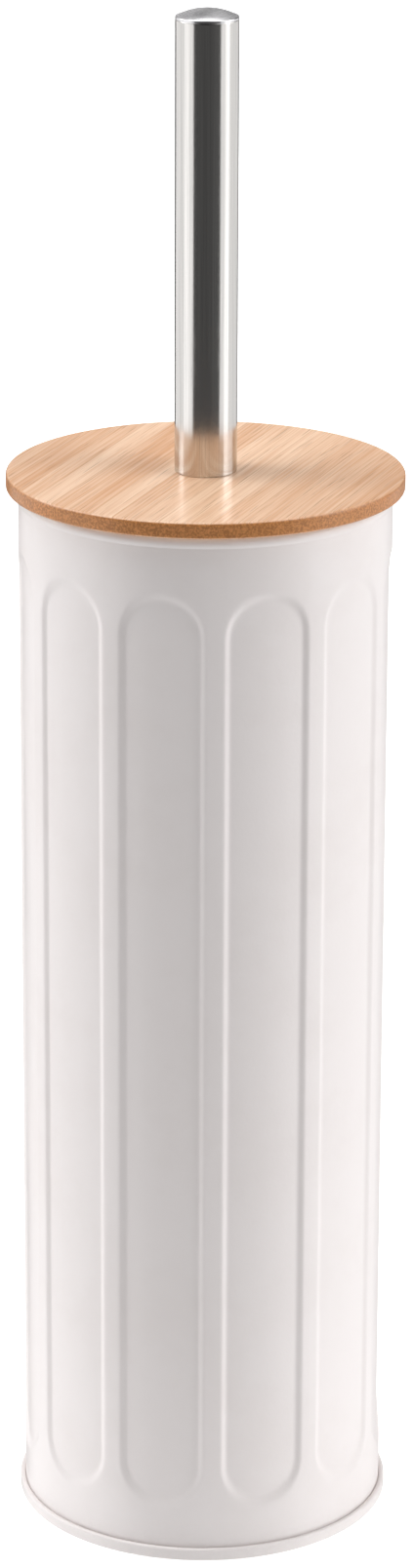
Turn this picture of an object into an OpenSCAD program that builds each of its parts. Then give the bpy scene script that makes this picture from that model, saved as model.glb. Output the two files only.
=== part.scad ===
// Toilet brush holder: a tall embossed sheet-steel canister with a plastic liner, and a brush
// whose bamboo lid closes the canister's mouth. +Z is up, the floor is z = 0, and the canister's
// axis is the Z axis. Millimetres.

/* [Canister] */
// Outside radius of the canister between its embossed panels
body_r = 48; // [36:0.5:70]
// Height of the rim above the floor
body_h = 280.3; // [180:1:360]
// Thickness of the canister's and the base's sheet
sheet_t = 0.45; // [0.4:0.05:1]

/* [Embossed panels] */
// Number of upright panels around the wall
panel_n = 11; // [6:1:16]
// Width of the plain wall left between two panels, along the wall
land_w = 6.2; // [3:0.2:12]
// Depth that the panels are pressed in
panel_depth = 0.8; // [0.4:0.1:1.4]
// Height of the panels' lower ends
panel_z0 = 15.6; // [8:0.2:40]
// Plain wall between the panels' upper ends and the rim
panel_top_gap = 16.2; // [8:0.2:40]
// Turn of the first panel's centre from the front
panel_turn = -13.3; // [-16:0.1:16]

/* [Rim bead] */
// Radius of the rolled rim's section
bead_r = 1.9; // [1.2:0.1:2.6]
// How far the rolled rim stands proud of the wall
bead_proud = 0.4; // [0:0.1:1]
// Width of the slit where the rolled edge stops short of the wall
bead_slit = 0.9; // [0.6:0.1:1.2]

/* [Base] */
// Height of the double seam that joins the base to the wall
seam_h = 3.4; // [3:0.1:6]
// Height of the wall's own hook inside the seam
hook_h = 2.5; // [2:0.1:3.4]
// Underside of the raised base panel
base_panel_z = 2.4; // [2:0.1:5]
// Rounding of the seam's outer edges
seam_round = 0.55; // [0.2:0.05:0.6]
// Inner radius of the stiffening groove pressed into the base
groove_r = 27; // [10:0.5:30]
// Width of the stiffening groove
groove_w = 5; // [3:0.5:8]
// Depth of the stiffening groove
groove_d = 1; // [0.4:0.1:1.4]

/* [Liner] */
// Depth of the liner's rim below the canister's rim
liner_drop = 20; // [15:0.5:60]
// Wall of the liner cup
liner_t = 1.6; // [1.2:0.1:2.4]
// Floor of the liner cup
liner_floor_t = 2; // [1.4:0.1:4]
// Rounding of the liner's heel
liner_heel = 5; // [3:0.5:8]
// Height of the liner's rim
liner_lip_h = 4; // [2:0.5:8]
// How far the liner's rim stands out from its wall
liner_lip_out = 1.2; // [0.6:0.1:2]
// Radius of the two finger notches in the liner's rim
notch_r = 11; // [6:0.5:13]

/* [Lid] */
// How far the lid hangs over the canister's wall
lid_overhang = 3.1; // [1.5:0.1:6]
// Thickness of the bamboo disc
lid_t = 4.3; // [4:0.1:12]
// Rounding of the disc's edges
lid_round = 0.8; // [0.3:0.1:1.8]
// Height of the plug under the disc
plug_h = 8; // [7:0.5:12]
// Thickness of the plug's web and ribs
plug_t = 2.2; // [1.6:0.1:2.6]
// Thickness of the plug's skirt
skirt_t = 3; // [2.6:0.1:4]
// Outside radius of the plug's central boss
boss_r = 9; // [8:0.5:12]
// Number of ribs in the plug
rib_n = 6; // [3:1:10]
// Height of the gasket's seat in the plug's skirt
gasket_h = 4; // [3:0.2:4.4]
// Depth of the gasket's seat
gasket_d = 1.2; // [0.8:0.1:1.6]

/* [Lid screws] */
// Number of screws that hold the plug to the disc
screw_n = 3; // [2:1:6]
// Radius of the circle on which the screws stand
screw_pcr = 24; // [17:0.5:26]
// Radius of a screw's thread
screw_r = 1.5; // [1:0.1:2]
// Radius of a screw's head
screw_head_r = 2.8; // [2:0.1:3.6]
// Height of a screw's head
screw_head_h = 1.8; // [1.2:0.1:2.4]
// How far the screws reach into the disc
screw_bite = 2.8; // [2:0.1:3.4]
// Depth of the cross recess in a screw's head
recess_d = 1; // [0.6:0.1:1.4]

/* [Handle] */
// Outside radius of the handle's tube
handle_r = 8; // [7.5:0.5:11]
// Length of the handle above the lid, without its domed cap
handle_h = 116.5; // [80:0.5:200]
// Wall of the handle's tube
handle_t = 0.8; // [0.5:0.1:1.5]
// Height of the cap's dome
dome_h = 2; // [0.8:0.1:6]
// Height of the cap's edge
cap_brim_h = 0.6; // [0.4:0.1:1.5]
// Length of the cap's sleeve inside the tube
cap_sleeve_h = 7; // [4:0.5:12]
// Length of the threaded bush in the foot of the handle
bush_h = 12; // [8:0.5:20]

/* [Stem] */
// Outside radius of the stem's tube
stem_r = 5; // [5:0.1:5.6]
// Radius of the threaded studs
stud_r = 3.95; // [3.5:0.05:4.2]
// Length of a stud inside the stem's tube
stud_grip = 12; // [8:0.5:20]
// Length of the lower stud outside the stem's tube
stud_reach = 9.5; // [8.5:0.5:12]
// Wall of the spacer sleeve that turns in the lid
sleeve_t = 1.8; // [1.4:0.1:2.2]
// Radius of the washer that keeps the lid on the handle
washer_r = 10; // [9:0.5:13]
// Thickness of the retaining washer
washer_t = 1.6; // [1:0.1:2.5]
// Radius of the split lock washer
lock_r = 6.9; // [6:0.1:8]
// Thickness of the split lock washer
lock_t = 2; // [1.2:0.1:2.5]

/* [Brush head] */
// Radius of the moulded core
core_r = 12; // [11:0.5:16]
// Height of the core above the centre of its round nose
core_h = 54; // [40:0.5:80]
// Space between the lowest bristles and the liner's floor
head_lift = 14; // [10:0.5:30]
// Depth of the socket that takes the foot of the stem
socket_d = 5; // [4:0.5:8]
// Outside radius of the brass insert
insert_r = 5.6; // [5.2:0.1:6.2]
// Length of the brass insert
insert_h = 10; // [8:0.5:12]
// Section radius of the sealing ring at the top of the head
oring_r = 0.9; // [0.7:0.1:1.2]

/* [Bristles] */
// Number of rings of side tufts
ring_n = 7; // [3:1:8]
// Height between two rings
ring_pitch = 6.8; // [5.8:0.1:9]
// Height of the lowest ring above the centre of the nose
ring_z0 = 4.5; // [3:0.5:8]
// Number of tufts in a ring
ring_tufts = 12; // [8:1:14]
// Rows of tufts on the nose: tilt from straight down, and number of tufts
nose_rows = [[0, 1], [26, 6], [51, 10], [76, 12]]; // [0:1:80]
// Radius of a tuft where it leaves the core
tuft_r = 1.55; // [1:0.05:1.7]
// Radius of a tuft at its tips
tuft_tip_r = 2.9; // [1.7:0.1:2.9]
// Depth of a tuft's hole in the core
tuft_d = 4.6; // [3.5:0.1:5]
// Height of the wire anchor at the bottom of each hole
anchor_h = 1.4; // [0.8:0.1:2]
// Thickness of the wire anchor
anchor_t = 0.4; // [0.3:0.05:0.6]

/* [Clearances] */
// Gap between the layers of the double seam
seam_gap = 0.03; // [0.02:0.01:0.06]
// Gap between the disc and the rim that it rests on
rest_gap = 0.1; // [0.05:0.05:0.3]
// Radial gap between the gasket and the rim
gasket_gap = 0.3; // [0.2:0.1:0.6]
// Radial gap between the plug's skirt and the rim
plug_gap = 1.3; // [1:0.1:2]
// Radial gap between the liner's rim and the canister's rim
liner_gap = 0.6; // [0.4:0.1:1.5]
// Radial gap between the bristle tips and the liner
bristle_gap = 4; // [2:0.5:8]
// Radial running clearance of the sleeve in the plug, and of the threads
run_gap = 0.05; // [0.02:0.01:0.1]
// Radial gap around pieces that only pass through
pass_gap = 0.3; // [0.2:0.1:0.6]
// End play of the lid between the handle's foot and the retaining washer
end_play = 0.3; // [0.1:0.1:0.6]

/* [Hidden] */
$fn = 96;
eps = 0.01;

// Canister
wall_in_r = body_r - sheet_t;
bead_c_r = body_r + bead_proud - bead_r;
bead_z = body_h - bead_r;
mouth_r = bead_c_r - bead_r;
wall_top_z = bead_z - sqrt(pow(bead_r, 2) - pow(body_r - bead_c_r, 2)) + sheet_t / 4;
panel_z1 = body_h - panel_top_gap;
panel_w = 2 * PI * body_r / panel_n - land_w;

// Double seam, from the wall outwards: base hook, wall hook, outer wall
chuck_r = wall_in_r - seam_gap;
base_hook_r = body_r + seam_gap + sheet_t;
wall_hook_r = base_hook_r + seam_gap + sheet_t;
seam_r = wall_hook_r + seam_gap + sheet_t;
foot_z = sheet_t + seam_gap;

// Lid and plug
lid_z = body_h + rest_gap;
lid_top_z = lid_z + lid_t;
lid_r = body_r + lid_overhang;
plug_z = lid_z - plug_h;
plug_r = mouth_r - plug_gap;
web_z = lid_z - plug_t;
gasket_z = bead_z - gasket_h / 2 - plug_t / 2;
gasket_in_r = plug_r - gasket_d;
gasket_lip_r = mouth_r - gasket_gap;

// Handle and stem
handle_z = lid_top_z + rest_gap / 2;
handle_top_z = handle_z + handle_h - cap_brim_h;
handle_in_r = handle_r - handle_t;
sleeve_in_r = stud_r + pass_gap;
sleeve_r = sleeve_in_r + sleeve_t;
sleeve_z = plug_z - end_play;
washer_z = sleeve_z - washer_t;
stem_top_z = washer_z - lock_t;
stem_in_r = stud_r + run_gap;

// Liner
liner_z = base_panel_z + sheet_t + rest_gap;
liner_lip_r = mouth_r - liner_gap;
liner_r = liner_lip_r - liner_lip_out;
liner_in_r = liner_r - liner_t;
liner_floor_z = liner_z + liner_floor_t;
liner_top_z = body_h - liner_drop;

// Brush head
bristle_r = liner_in_r - bristle_gap;
nose_z = liner_floor_z + head_lift + bristle_r;
core_top_z = nose_z + core_h;
stem_z = core_top_z - socket_d;
insert_z = stem_z - rest_gap - insert_h;
oring_c_r = stem_r + pass_gap + oring_r;
oring_seat_r = oring_c_r + oring_r + pass_gap;
oring_seat_d = 2 * oring_r + rest_gap;
tuft_root_r = core_r - tuft_d;

// ---- shared shapes -------------------------------------------------------------------------

// A band of a round piece's section, from radius r0 to r1 and height z0 to z1
module band(r0, r1, z0, z1) {
  translate([r0, z0]) square([r1 - r0, z1 - z0]);
}

// The section of a disc with both its outer edges rounded
module disc_section(r, z0, z1, edge) {
  band(0, r - edge, z0, z1);
  band(0, r, z0 + edge, z1 - edge);
  for (z = [z0 + edge, z1 - edge]) translate([r - edge, z]) circle(edge);
}

// A flat or tall ring
module ring(r0, r1, z0, z1) {
  rotate_extrude() band(r0, r1, z0, z1);
}

// One upright round-ended bar that runs out through the wall, as wide as w
module panel_bar(w, z0, z1) {
  half_w = w / 2;
  bar_d = 4 * panel_depth + 2 * sheet_t;
  rotate([0, 0, -90]) translate([body_r - bar_d, 0, 0]) {
    translate([0, -half_w, z0 + half_w]) cube([2 * bar_d, w, z1 - z0 - w]);
    for (z = [z0 + half_w, z1 - half_w])
      translate([0, 0, z]) rotate([0, 90, 0]) cylinder(r = half_w, h = 2 * bar_d);
  }
}

// All the panels' bars, grown by grow on every side
module panel_bars(grow) {
  for (k = [0 : panel_n - 1])
    rotate([0, 0, panel_turn + k * 360 / panel_n])
      panel_bar(panel_w + 2 * grow, panel_z0 - grow, panel_z1 + grow);
}

// Puts a piece that points up along its own Z axis at every side tuft
module at_side_tufts() {
  for (i = [0 : ring_n - 1], k = [0 : ring_tufts - 1])
    translate([0, 0, nose_z + ring_z0 + i * ring_pitch])
      rotate([0, 90, (k + i % 2 / 2) * 360 / ring_tufts]) children();
}

// The same for the tufts on the nose
module at_nose_tufts() {
  for (row = nose_rows, k = [0 : row[1] - 1])
    translate([0, 0, nose_z])
      rotate([180 - row[0], 0, k * 360 / row[1]]) children();
}

module tuft() {
  translate([0, 0, tuft_root_r + anchor_h])
    cylinder(r = tuft_r, h = tuft_d - anchor_h);
  translate([0, 0, core_r])
    cylinder(r1 = tuft_r, r2 = tuft_tip_r, h = bristle_r - core_r);
}

// A flat piece of wire across the bottom of a tuft's hole
module anchor() {
  translate([-tuft_r * 0.9, -anchor_t / 2, tuft_root_r]) cube([tuft_r * 1.8, anchor_t, anchor_h]);
}

// ---- canister ------------------------------------------------------------------------------

module canister_wall() color("whitesmoke") {
  bulge_r = wall_in_r - panel_depth;
  difference() {
    union() {
      // plain wall, its hooked foot in the double seam, and the rolled rim
      rotate_extrude() {
        band(wall_in_r, body_r, foot_z, wall_top_z);
        band(wall_in_r, wall_hook_r, foot_z, foot_z + sheet_t);
        band(wall_hook_r - sheet_t, wall_hook_r, foot_z, hook_h);
        difference() {
          translate([bead_c_r, bead_z]) circle(bead_r);
          translate([bead_c_r, bead_z]) circle(bead_r - sheet_t);
          band(wall_in_r - bead_slit, wall_in_r, bead_z - bead_r - eps, bead_z);
        }
      }
      // the panels' backs, standing in from the wall
      intersection() {
        ring(bulge_r, wall_in_r + sheet_t / 2, panel_z0 - 2 * sheet_t, panel_z1 + 2 * sheet_t);
        panel_bars(sheet_t);
      }
    }
    // the panels' hollows, seen from outside
    intersection() {
      ring(bulge_r + sheet_t, body_r + bead_r, panel_z0 - sheet_t, panel_z1 + sheet_t);
      panel_bars(0);
    }
  }
}

module base_plate() color("gainsboro") rotate_extrude() difference() {
  disc_section(seam_r, 0, seam_h, seam_round);
  // space above and below the raised panel, with its stiffening groove
  difference() {
    band(0, chuck_r - sheet_t, -eps, seam_h + eps);
    band(0, chuck_r, base_panel_z, base_panel_z + sheet_t);
    band(groove_r - sheet_t, groove_r + groove_w + sheet_t, base_panel_z - groove_d,
         base_panel_z + sheet_t);
  }
  band(groove_r, groove_r + groove_w, base_panel_z - groove_d + sheet_t, seam_h + eps);
  // room for the canister's wall, its foot and its hook
  band(chuck_r, body_r + seam_gap, sheet_t, seam_h + eps);
  band(chuck_r, wall_hook_r + seam_gap, sheet_t, foot_z + sheet_t + seam_gap);
  band(base_hook_r, wall_hook_r + seam_gap, sheet_t, seam_h - sheet_t);
}

// ---- liner ---------------------------------------------------------------------------------

module liner_cup() color("lightgray") difference() {
  rotate_extrude() {
    difference() {
      union() {
        band(0, liner_r - liner_heel, liner_z, liner_z + liner_heel);
        band(0, liner_r, liner_z + liner_heel, liner_top_z);
        translate([liner_r - liner_heel, liner_z + liner_heel]) circle(liner_heel);
      }
      band(0, liner_in_r - liner_heel, liner_floor_z, liner_top_z + eps);
      band(0, liner_in_r, liner_floor_z + liner_heel, liner_top_z + eps);
      translate([liner_in_r - liner_heel, liner_floor_z + liner_heel]) circle(liner_heel);
    }
    band(liner_r - eps, liner_lip_r, liner_top_z - liner_lip_h, liner_top_z);
  }
  translate([-body_r, 0, liner_top_z]) rotate([0, 90, 0]) cylinder(r = notch_r, h = 2 * body_r);
}

// ---- lid -----------------------------------------------------------------------------------

module at_lid_screws() {
  for (k = [0 : screw_n - 1]) rotate([0, 0, (k + 0.25) * 360 / screw_n]) translate([screw_pcr, 0, 0])
    children();
}

module lid_disc() color("burlywood") difference() {
  rotate_extrude() disc_section(lid_r, lid_z, lid_top_z, lid_round);
  translate([0, 0, lid_z - eps]) cylinder(r = sleeve_r + pass_gap, h = lid_t + 2 * eps);
  at_lid_screws() translate([0, 0, lid_z - eps]) cylinder(r = screw_r, h = screw_bite + eps);
}

module lid_plug() color("whitesmoke") difference() {
  union() {
    ring(0, plug_r, web_z, lid_z);
    ring(plug_r - skirt_t, plug_r, plug_z, lid_z);
    ring(0, boss_r, plug_z, lid_z);
    for (k = [0 : rib_n - 1]) rotate([0, 0, k * 360 / rib_n])
      translate([boss_r - 1, -plug_t / 2, plug_z + plug_t])
        cube([plug_r - skirt_t - boss_r + 2, plug_t, plug_h - plug_t]);
  }
  translate([0, 0, plug_z - eps]) cylinder(r = sleeve_r + run_gap, h = plug_h + 2 * eps);
  at_lid_screws() translate([0, 0, plug_z]) cylinder(r = screw_r, h = plug_h + eps);
  ring(gasket_in_r, plug_r + eps, gasket_z, gasket_z + gasket_h);
}

// A silicone band in the plug's seat, with two thin lips
module lid_gasket() color("white") rotate_extrude() {
  lip_t = gasket_h / 5;
  band(gasket_in_r, plug_r, gasket_z, gasket_z + gasket_h);
  for (z = [gasket_z + lip_t, gasket_z + gasket_h - 2 * lip_t])
    band(plug_r - eps, gasket_lip_r, z, z + lip_t);
}

module lid_screws() color("silver") at_lid_screws() difference() {
  union() {
    translate([0, 0, web_z]) cylinder(r = screw_r, h = plug_t + screw_bite);
    translate([0, 0, web_z - screw_head_h])
      cylinder(r1 = screw_head_r * 0.8, r2 = screw_head_r, h = screw_head_h);
  }
  for (a = [0, 90]) rotate([0, 0, a])
    translate([-screw_head_r * 0.55, -screw_r / 4, web_z - screw_head_h - eps])
      cube([screw_head_r * 1.1, screw_r / 2, recess_d]);
}

// ---- handle --------------------------------------------------------------------------------

module handle_tube() color("silver") ring(handle_in_r, handle_r, handle_z, handle_top_z);

module handle_cap() color("gainsboro") {
  dome_r = (pow(handle_r, 2) + pow(dome_h, 2)) / (2 * dome_h);
  brim_z = handle_top_z + cap_brim_h;
  dome_c_z = brim_z + dome_h - dome_r;
  rotate_extrude() difference() {
    union() {
      intersection() {
        translate([0, dome_c_z]) circle(dome_r, $fn = 360);
        band(0, handle_r, brim_z - eps, brim_z + dome_h + eps);
      }
      band(0, handle_r, handle_top_z, brim_z);
      band(0, handle_in_r, handle_top_z - cap_sleeve_h, handle_top_z + eps);
    }
    band(0, handle_in_r - handle_t, handle_top_z - cap_sleeve_h - eps, handle_top_z);
  }
}

module handle_bush() color("silver")
  ring(stud_r + run_gap, handle_in_r, handle_z, handle_z + bush_h);

module spacer_sleeve() color("silver") ring(sleeve_in_r, sleeve_r, sleeve_z, handle_z);

module retaining_washer() color("silver")
  ring(stud_r + pass_gap, washer_r, washer_z, washer_z + washer_t);

module lock_washer() color("dimgray") difference() {
  ring(stud_r + pass_gap, lock_r, stem_top_z, stem_top_z + lock_t);
  rotate([0, 0, 20]) translate([0, -lock_t / 4, stem_top_z - eps])
    cube([lock_r + eps, lock_t / 2, lock_t + 2 * eps]);
}

// ---- stem ----------------------------------------------------------------------------------

module upper_stud() color("gray")
  translate([0, 0, stem_top_z - stud_grip])
    cylinder(r = stud_r, h = handle_z + bush_h - stem_top_z + stud_grip);

module stem_tube() color("silver") ring(stem_in_r, stem_r, stem_z, stem_top_z);

module lower_stud() color("gray")
  translate([0, 0, stem_z - stud_reach]) cylinder(r = stud_r, h = stud_reach + stud_grip);

// ---- brush head ----------------------------------------------------------------------------

module head_oring() color("dimgray")
  rotate_extrude() translate([oring_c_r, core_top_z - oring_r]) circle(oring_r, $fn = 48);

module brush_core() color("white") difference() {
  union() {
    translate([0, 0, nose_z]) cylinder(r = core_r, h = core_h);
    translate([0, 0, nose_z]) sphere(core_r);
  }
  // seat of the sealing ring, socket of the stem, and room for the insert and the stud's end
  ring(0, oring_seat_r, core_top_z - oring_seat_d, core_top_z + eps);
  ring(0, stem_r + pass_gap, stem_z - rest_gap, core_top_z + eps);
  ring(0, insert_r, insert_z, core_top_z - socket_d);
  ring(0, stud_r + pass_gap, insert_z - pass_gap * 5, insert_z + eps);
  at_side_tufts() translate([0, 0, tuft_root_r]) cylinder(r = tuft_r, h = tuft_d + core_r);
  at_nose_tufts() translate([0, 0, tuft_root_r]) cylinder(r = tuft_r, h = tuft_d + core_r);
}

module core_insert() color("goldenrod")
  ring(stud_r + run_gap, insert_r, insert_z, insert_z + insert_h);

module side_bristles() color("white") at_side_tufts() tuft();

module nose_bristles() color("white") at_nose_tufts() tuft();

module tuft_anchors() color("silver") {
  at_side_tufts() anchor();
  at_nose_tufts() anchor();
}

canister_wall();
base_plate();
liner_cup();
lid_disc();
lid_plug();
lid_gasket();
lid_screws();
handle_tube();
handle_cap();
handle_bush();
spacer_sleeve();
retaining_washer();
lock_washer();
upper_stud();
stem_tube();
lower_stud();
head_oring();
brush_core();
core_insert();
side_bristles();
nose_bristles();
tuft_anchors();
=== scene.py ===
import bmesh
import bpy
import math
import numpy as np
from mathutils import Matrix, Vector


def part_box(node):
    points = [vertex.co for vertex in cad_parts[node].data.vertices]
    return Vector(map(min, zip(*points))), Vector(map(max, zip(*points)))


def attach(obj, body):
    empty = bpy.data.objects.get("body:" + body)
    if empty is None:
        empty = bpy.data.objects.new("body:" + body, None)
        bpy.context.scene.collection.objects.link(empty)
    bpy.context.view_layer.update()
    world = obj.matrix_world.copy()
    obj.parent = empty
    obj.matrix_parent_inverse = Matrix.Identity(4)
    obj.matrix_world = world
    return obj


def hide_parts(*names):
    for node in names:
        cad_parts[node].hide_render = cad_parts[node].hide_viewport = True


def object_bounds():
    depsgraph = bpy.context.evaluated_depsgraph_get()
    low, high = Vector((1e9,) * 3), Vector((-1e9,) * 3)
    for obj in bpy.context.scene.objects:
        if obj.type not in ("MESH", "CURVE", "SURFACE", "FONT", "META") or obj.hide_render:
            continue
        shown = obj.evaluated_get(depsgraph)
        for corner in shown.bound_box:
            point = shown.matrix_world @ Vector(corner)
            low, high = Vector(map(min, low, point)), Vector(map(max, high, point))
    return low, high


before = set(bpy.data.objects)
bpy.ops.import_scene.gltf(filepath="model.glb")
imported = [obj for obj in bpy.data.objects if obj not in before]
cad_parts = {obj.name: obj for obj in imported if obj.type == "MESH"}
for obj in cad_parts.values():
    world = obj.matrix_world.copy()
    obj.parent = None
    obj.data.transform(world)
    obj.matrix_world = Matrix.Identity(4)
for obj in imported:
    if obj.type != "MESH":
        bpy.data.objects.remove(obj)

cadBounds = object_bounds()  # the CAD box, whose lowest point sets the floor's height
mm = 0.001
scene = bpy.context.scene


def top(node):
    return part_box(node)[1].z / mm


def bottom(node):
    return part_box(node)[0].z / mm


def outerRadius(node):
    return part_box(node)[1].x / mm


# ---- node helpers ----------------------------------------------------------------------

def link(tree, value, socket):
    if isinstance(value, bpy.types.NodeSocket):
        tree.links.new(value, socket)
    else:
        socket.default_value = value


def addNode(tree, kind, settings, inputs):
    node = tree.nodes.new(kind)
    for name, value in settings.items():
        setattr(node, name, value)
    for name, value in inputs.items():
        link(tree, value, node.inputs[name])
    return node


def calc(tree, operation, *values):
    node = tree.nodes.new("ShaderNodeMath")
    node.operation = operation
    for value, socket in zip(values, node.inputs):
        link(tree, value, socket)
    return node.outputs[0]


def ramp(tree, value, low, high, fromLow=0.0, fromHigh=1.0, curve="LINEAR"):
    node = addNode(tree, "ShaderNodeMapRange", {"interpolation_type": curve},
                   {"From Min": fromLow, "From Max": fromHigh, "To Min": low, "To Max": high})
    link(tree, value, node.inputs["Value"])
    return node.outputs["Result"]


def mixColour(tree, share, first, second, blend="MIX"):
    node = addNode(tree, "ShaderNodeMix", {"data_type": "RGBA", "blend_type": blend}, {})
    link(tree, share, node.inputs[0])
    link(tree, first, node.inputs[6])
    link(tree, second, node.inputs[7])
    return node.outputs[2]


def noise(tree, vector, scale, detail=3.0, roughness=0.5):
    node = addNode(tree, "ShaderNodeTexNoise", {},
                   {"Vector": vector, "Scale": scale, "Detail": detail, "Roughness": roughness})
    return node.outputs["Fac"]


def newTree(name, kind, inputs, outputs):
    tree = bpy.data.node_groups.new(name, kind)
    for label, socketKind, value in inputs:
        socket = tree.interface.new_socket(label, in_out="INPUT", socket_type=socketKind)
        if value is not None:
            socket.default_value = value
    for label, socketKind in outputs:
        tree.interface.new_socket(label, in_out="OUTPUT", socket_type=socketKind)
    enter = tree.nodes.new("NodeGroupInput")
    leave = tree.nodes.new("NodeGroupOutput")
    return tree, enter.outputs, leave.inputs


# ---- effects that several finishes share -----------------------------------------------

def makeFineGrain():
    # orange peel, spark texture of a mould, pores: two sizes of low bumps
    tree, given, result = newTree(
        "fineGrain", "ShaderNodeTree",
        [("Vector", "NodeSocketVector", None), ("Grain Size", "NodeSocketFloat", 0.001),
         ("Roughen", "NodeSocketFloat", 0.4)],
        [("Height", "NodeSocketFloat")])
    scale = calc(tree, "DIVIDE", 1.0, given["Grain Size"])
    coarse = noise(tree, given["Vector"], scale, 1.5, 0.5)
    fine = noise(tree, given["Vector"], calc(tree, "MULTIPLY", scale, 3.1), 2.0, 0.6)
    link(tree, calc(tree, "MULTIPLY_ADD", fine, given["Roughen"], coarse), result["Height"])
    return tree


def makeHandling():
    # soft patches where a surface has been wiped and touched
    tree, given, result = newTree(
        "handling", "ShaderNodeTree",
        [("Vector", "NodeSocketVector", None), ("Patch Size", "NodeSocketFloat", 0.03),
         ("Coverage", "NodeSocketFloat", 0.5)],
        [("Mask", "NodeSocketFloat")])
    scale = calc(tree, "DIVIDE", 1.0, given["Patch Size"])
    broad = noise(tree, given["Vector"], scale, 3.0, 0.55)
    streaks = noise(tree, given["Vector"], calc(tree, "MULTIPLY", scale, 6.3), 4.0, 0.6)
    mixed = calc(tree, "MULTIPLY_ADD", streaks, 0.35, broad)
    threshold = calc(tree, "SUBTRACT", 1.15, given["Coverage"])
    mask = ramp(tree, calc(tree, "SUBTRACT", mixed, threshold), 0.0, 1.0, -0.12, 0.2, "SMOOTHSTEP")
    link(tree, mask, result["Mask"])
    return tree


def makeFibres():
    # lines that run along X: brush marks in steel, fibre bundles in bamboo
    tree, given, result = newTree(
        "fibres", "ShaderNodeTree",
        [("Vector", "NodeSocketVector", None), ("Line Length", "NodeSocketFloat", 0.02),
         ("Line Width", "NodeSocketFloat", 0.0003), ("Detail", "NodeSocketFloat", 3.0)],
        [("Tone", "NodeSocketFloat")])
    part = addNode(tree, "ShaderNodeSeparateXYZ", {}, {"Vector": given["Vector"]})
    along = calc(tree, "DIVIDE", part.outputs["X"], given["Line Length"])
    across = calc(tree, "DIVIDE", part.outputs["Y"], given["Line Width"])
    deep = calc(tree, "DIVIDE", part.outputs["Z"], given["Line Width"])
    stretched = addNode(tree, "ShaderNodeCombineXYZ", {}, {"X": along, "Y": across, "Z": deep})
    tone = noise(tree, stretched.outputs["Vector"], 1.0, given["Detail"], 0.55)
    link(tree, tone, result["Tone"])
    return tree


def makeFootDust():
    # dust that settles low down on a piece
    tree, given, result = newTree(
        "footDust", "ShaderNodeTree",
        [("Vector", "NodeSocketVector", None), ("Low", "NodeSocketFloat", 0.0),
         ("High", "NodeSocketFloat", 0.02)],
        [("Mask", "NodeSocketFloat")])
    part = addNode(tree, "ShaderNodeSeparateXYZ", {}, {"Vector": given["Vector"]})
    speckle = noise(tree, given["Vector"], 900.0, 3.0, 0.6)
    fade = addNode(tree, "ShaderNodeMapRange", {"interpolation_type": "SMOOTHSTEP"},
                   {"Value": part.outputs["Z"], "From Min": given["Low"], "From Max": given["High"],
                    "To Min": 1.0, "To Max": 0.0})
    link(tree, calc(tree, "MULTIPLY", fade.outputs["Result"], speckle), result["Mask"])
    return tree


fineGrain = makeFineGrain()
handling = makeHandling()
fibres = makeFibres()
footDust = makeFootDust()


# ---- finishes --------------------------------------------------------------------------

def newMaterial(name, metallic=0.0, **constants):
    material = bpy.data.materials.new(name)
    material.use_nodes = True
    tree = material.node_tree
    shader = tree.nodes["Principled BSDF"]
    shader.inputs["Metallic"].default_value = metallic
    for key, value in constants.items():
        shader.inputs[socketNames[key]].default_value = value
    place = tree.nodes.new("ShaderNodeTexCoord").outputs["Object"]
    return material, tree, shader.inputs, place


socketNames = {
    "ior": "IOR",
    "coat": "Coat Weight",
    "coatRoughness": "Coat Roughness",
    "anisotropy": "Anisotropic",
    "glow": "Subsurface Weight",
    "glowScale": "Subsurface Scale",
}


def effect(tree, group, outputName, **inputs):
    node = tree.nodes.new("ShaderNodeGroup")
    node.node_tree = group
    for key, value in inputs.items():
        label = {"vector": "Vector", "size": "Grain Size", "roughen": "Roughen",
                 "patch": "Patch Size", "coverage": "Coverage", "length": "Line Length",
                 "width": "Line Width", "detail": "Detail", "low": "Low", "high": "High"}[key]
        link(tree, value, node.inputs[label])
    return node.outputs[outputName]


def bump(tree, sockets, height, depth, strength=1.0):
    node = addNode(tree, "ShaderNodeBump", {}, {"Strength": strength, "Distance": depth, "Height": height})
    link(tree, node.outputs["Normal"], sockets["Normal"])


def turned(tree, place, rotation):
    node = addNode(tree, "ShaderNodeMapping", {}, {"Vector": place, "Rotation": rotation})
    return node.outputs["Vector"]


def rgb(*values):
    return (*values, 1.0)


enamelLook = {
    "colour": rgb(0.865, 0.815, 0.806),
    "touched": rgb(0.845, 0.792, 0.780),
    "dust": rgb(0.60, 0.55, 0.52),
    "roughness": (0.36, 0.47),
    "peelSize": 0.0013,
    "peelDepth": 0.000022,
}


def makeEnamel():
    look = enamelLook
    material, tree, sockets, place = newMaterial("whiteEnamel", ior=1.5, coat=0.12, coatRoughness=0.22)
    touched = effect(tree, handling, "Mask", vector=place, patch=0.035, coverage=0.45)
    dust = effect(tree, footDust, "Mask", vector=place, low=0.001, high=0.012)
    colour = mixColour(tree, touched, look["colour"], look["touched"])
    colour = mixColour(tree, calc(tree, "MULTIPLY", dust, 0.22), colour, look["dust"])
    link(tree, colour, sockets["Base Color"])
    link(tree, ramp(tree, touched, *look["roughness"]), sockets["Roughness"])
    peel = effect(tree, fineGrain, "Height", vector=place, size=look["peelSize"], roughen=0.5)
    bump(tree, sockets, peel, look["peelDepth"], 1.0)
    return material


bambooLook = {
    "grainTurn": math.radians(-70),
    "stripWidth": 0.0062,
    "light": rgb(0.86, 0.595, 0.41),
    "warm": rgb(0.66, 0.345, 0.175),
    "fleck": rgb(0.36, 0.16, 0.065),
    "edge": rgb(0.70, 0.29, 0.085),
    "edgeDark": rgb(0.21, 0.065, 0.012),
    "edgeBand": rgb(0.56, 0.235, 0.06),
    "glueLine": rgb(0.46, 0.235, 0.105),
}


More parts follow.
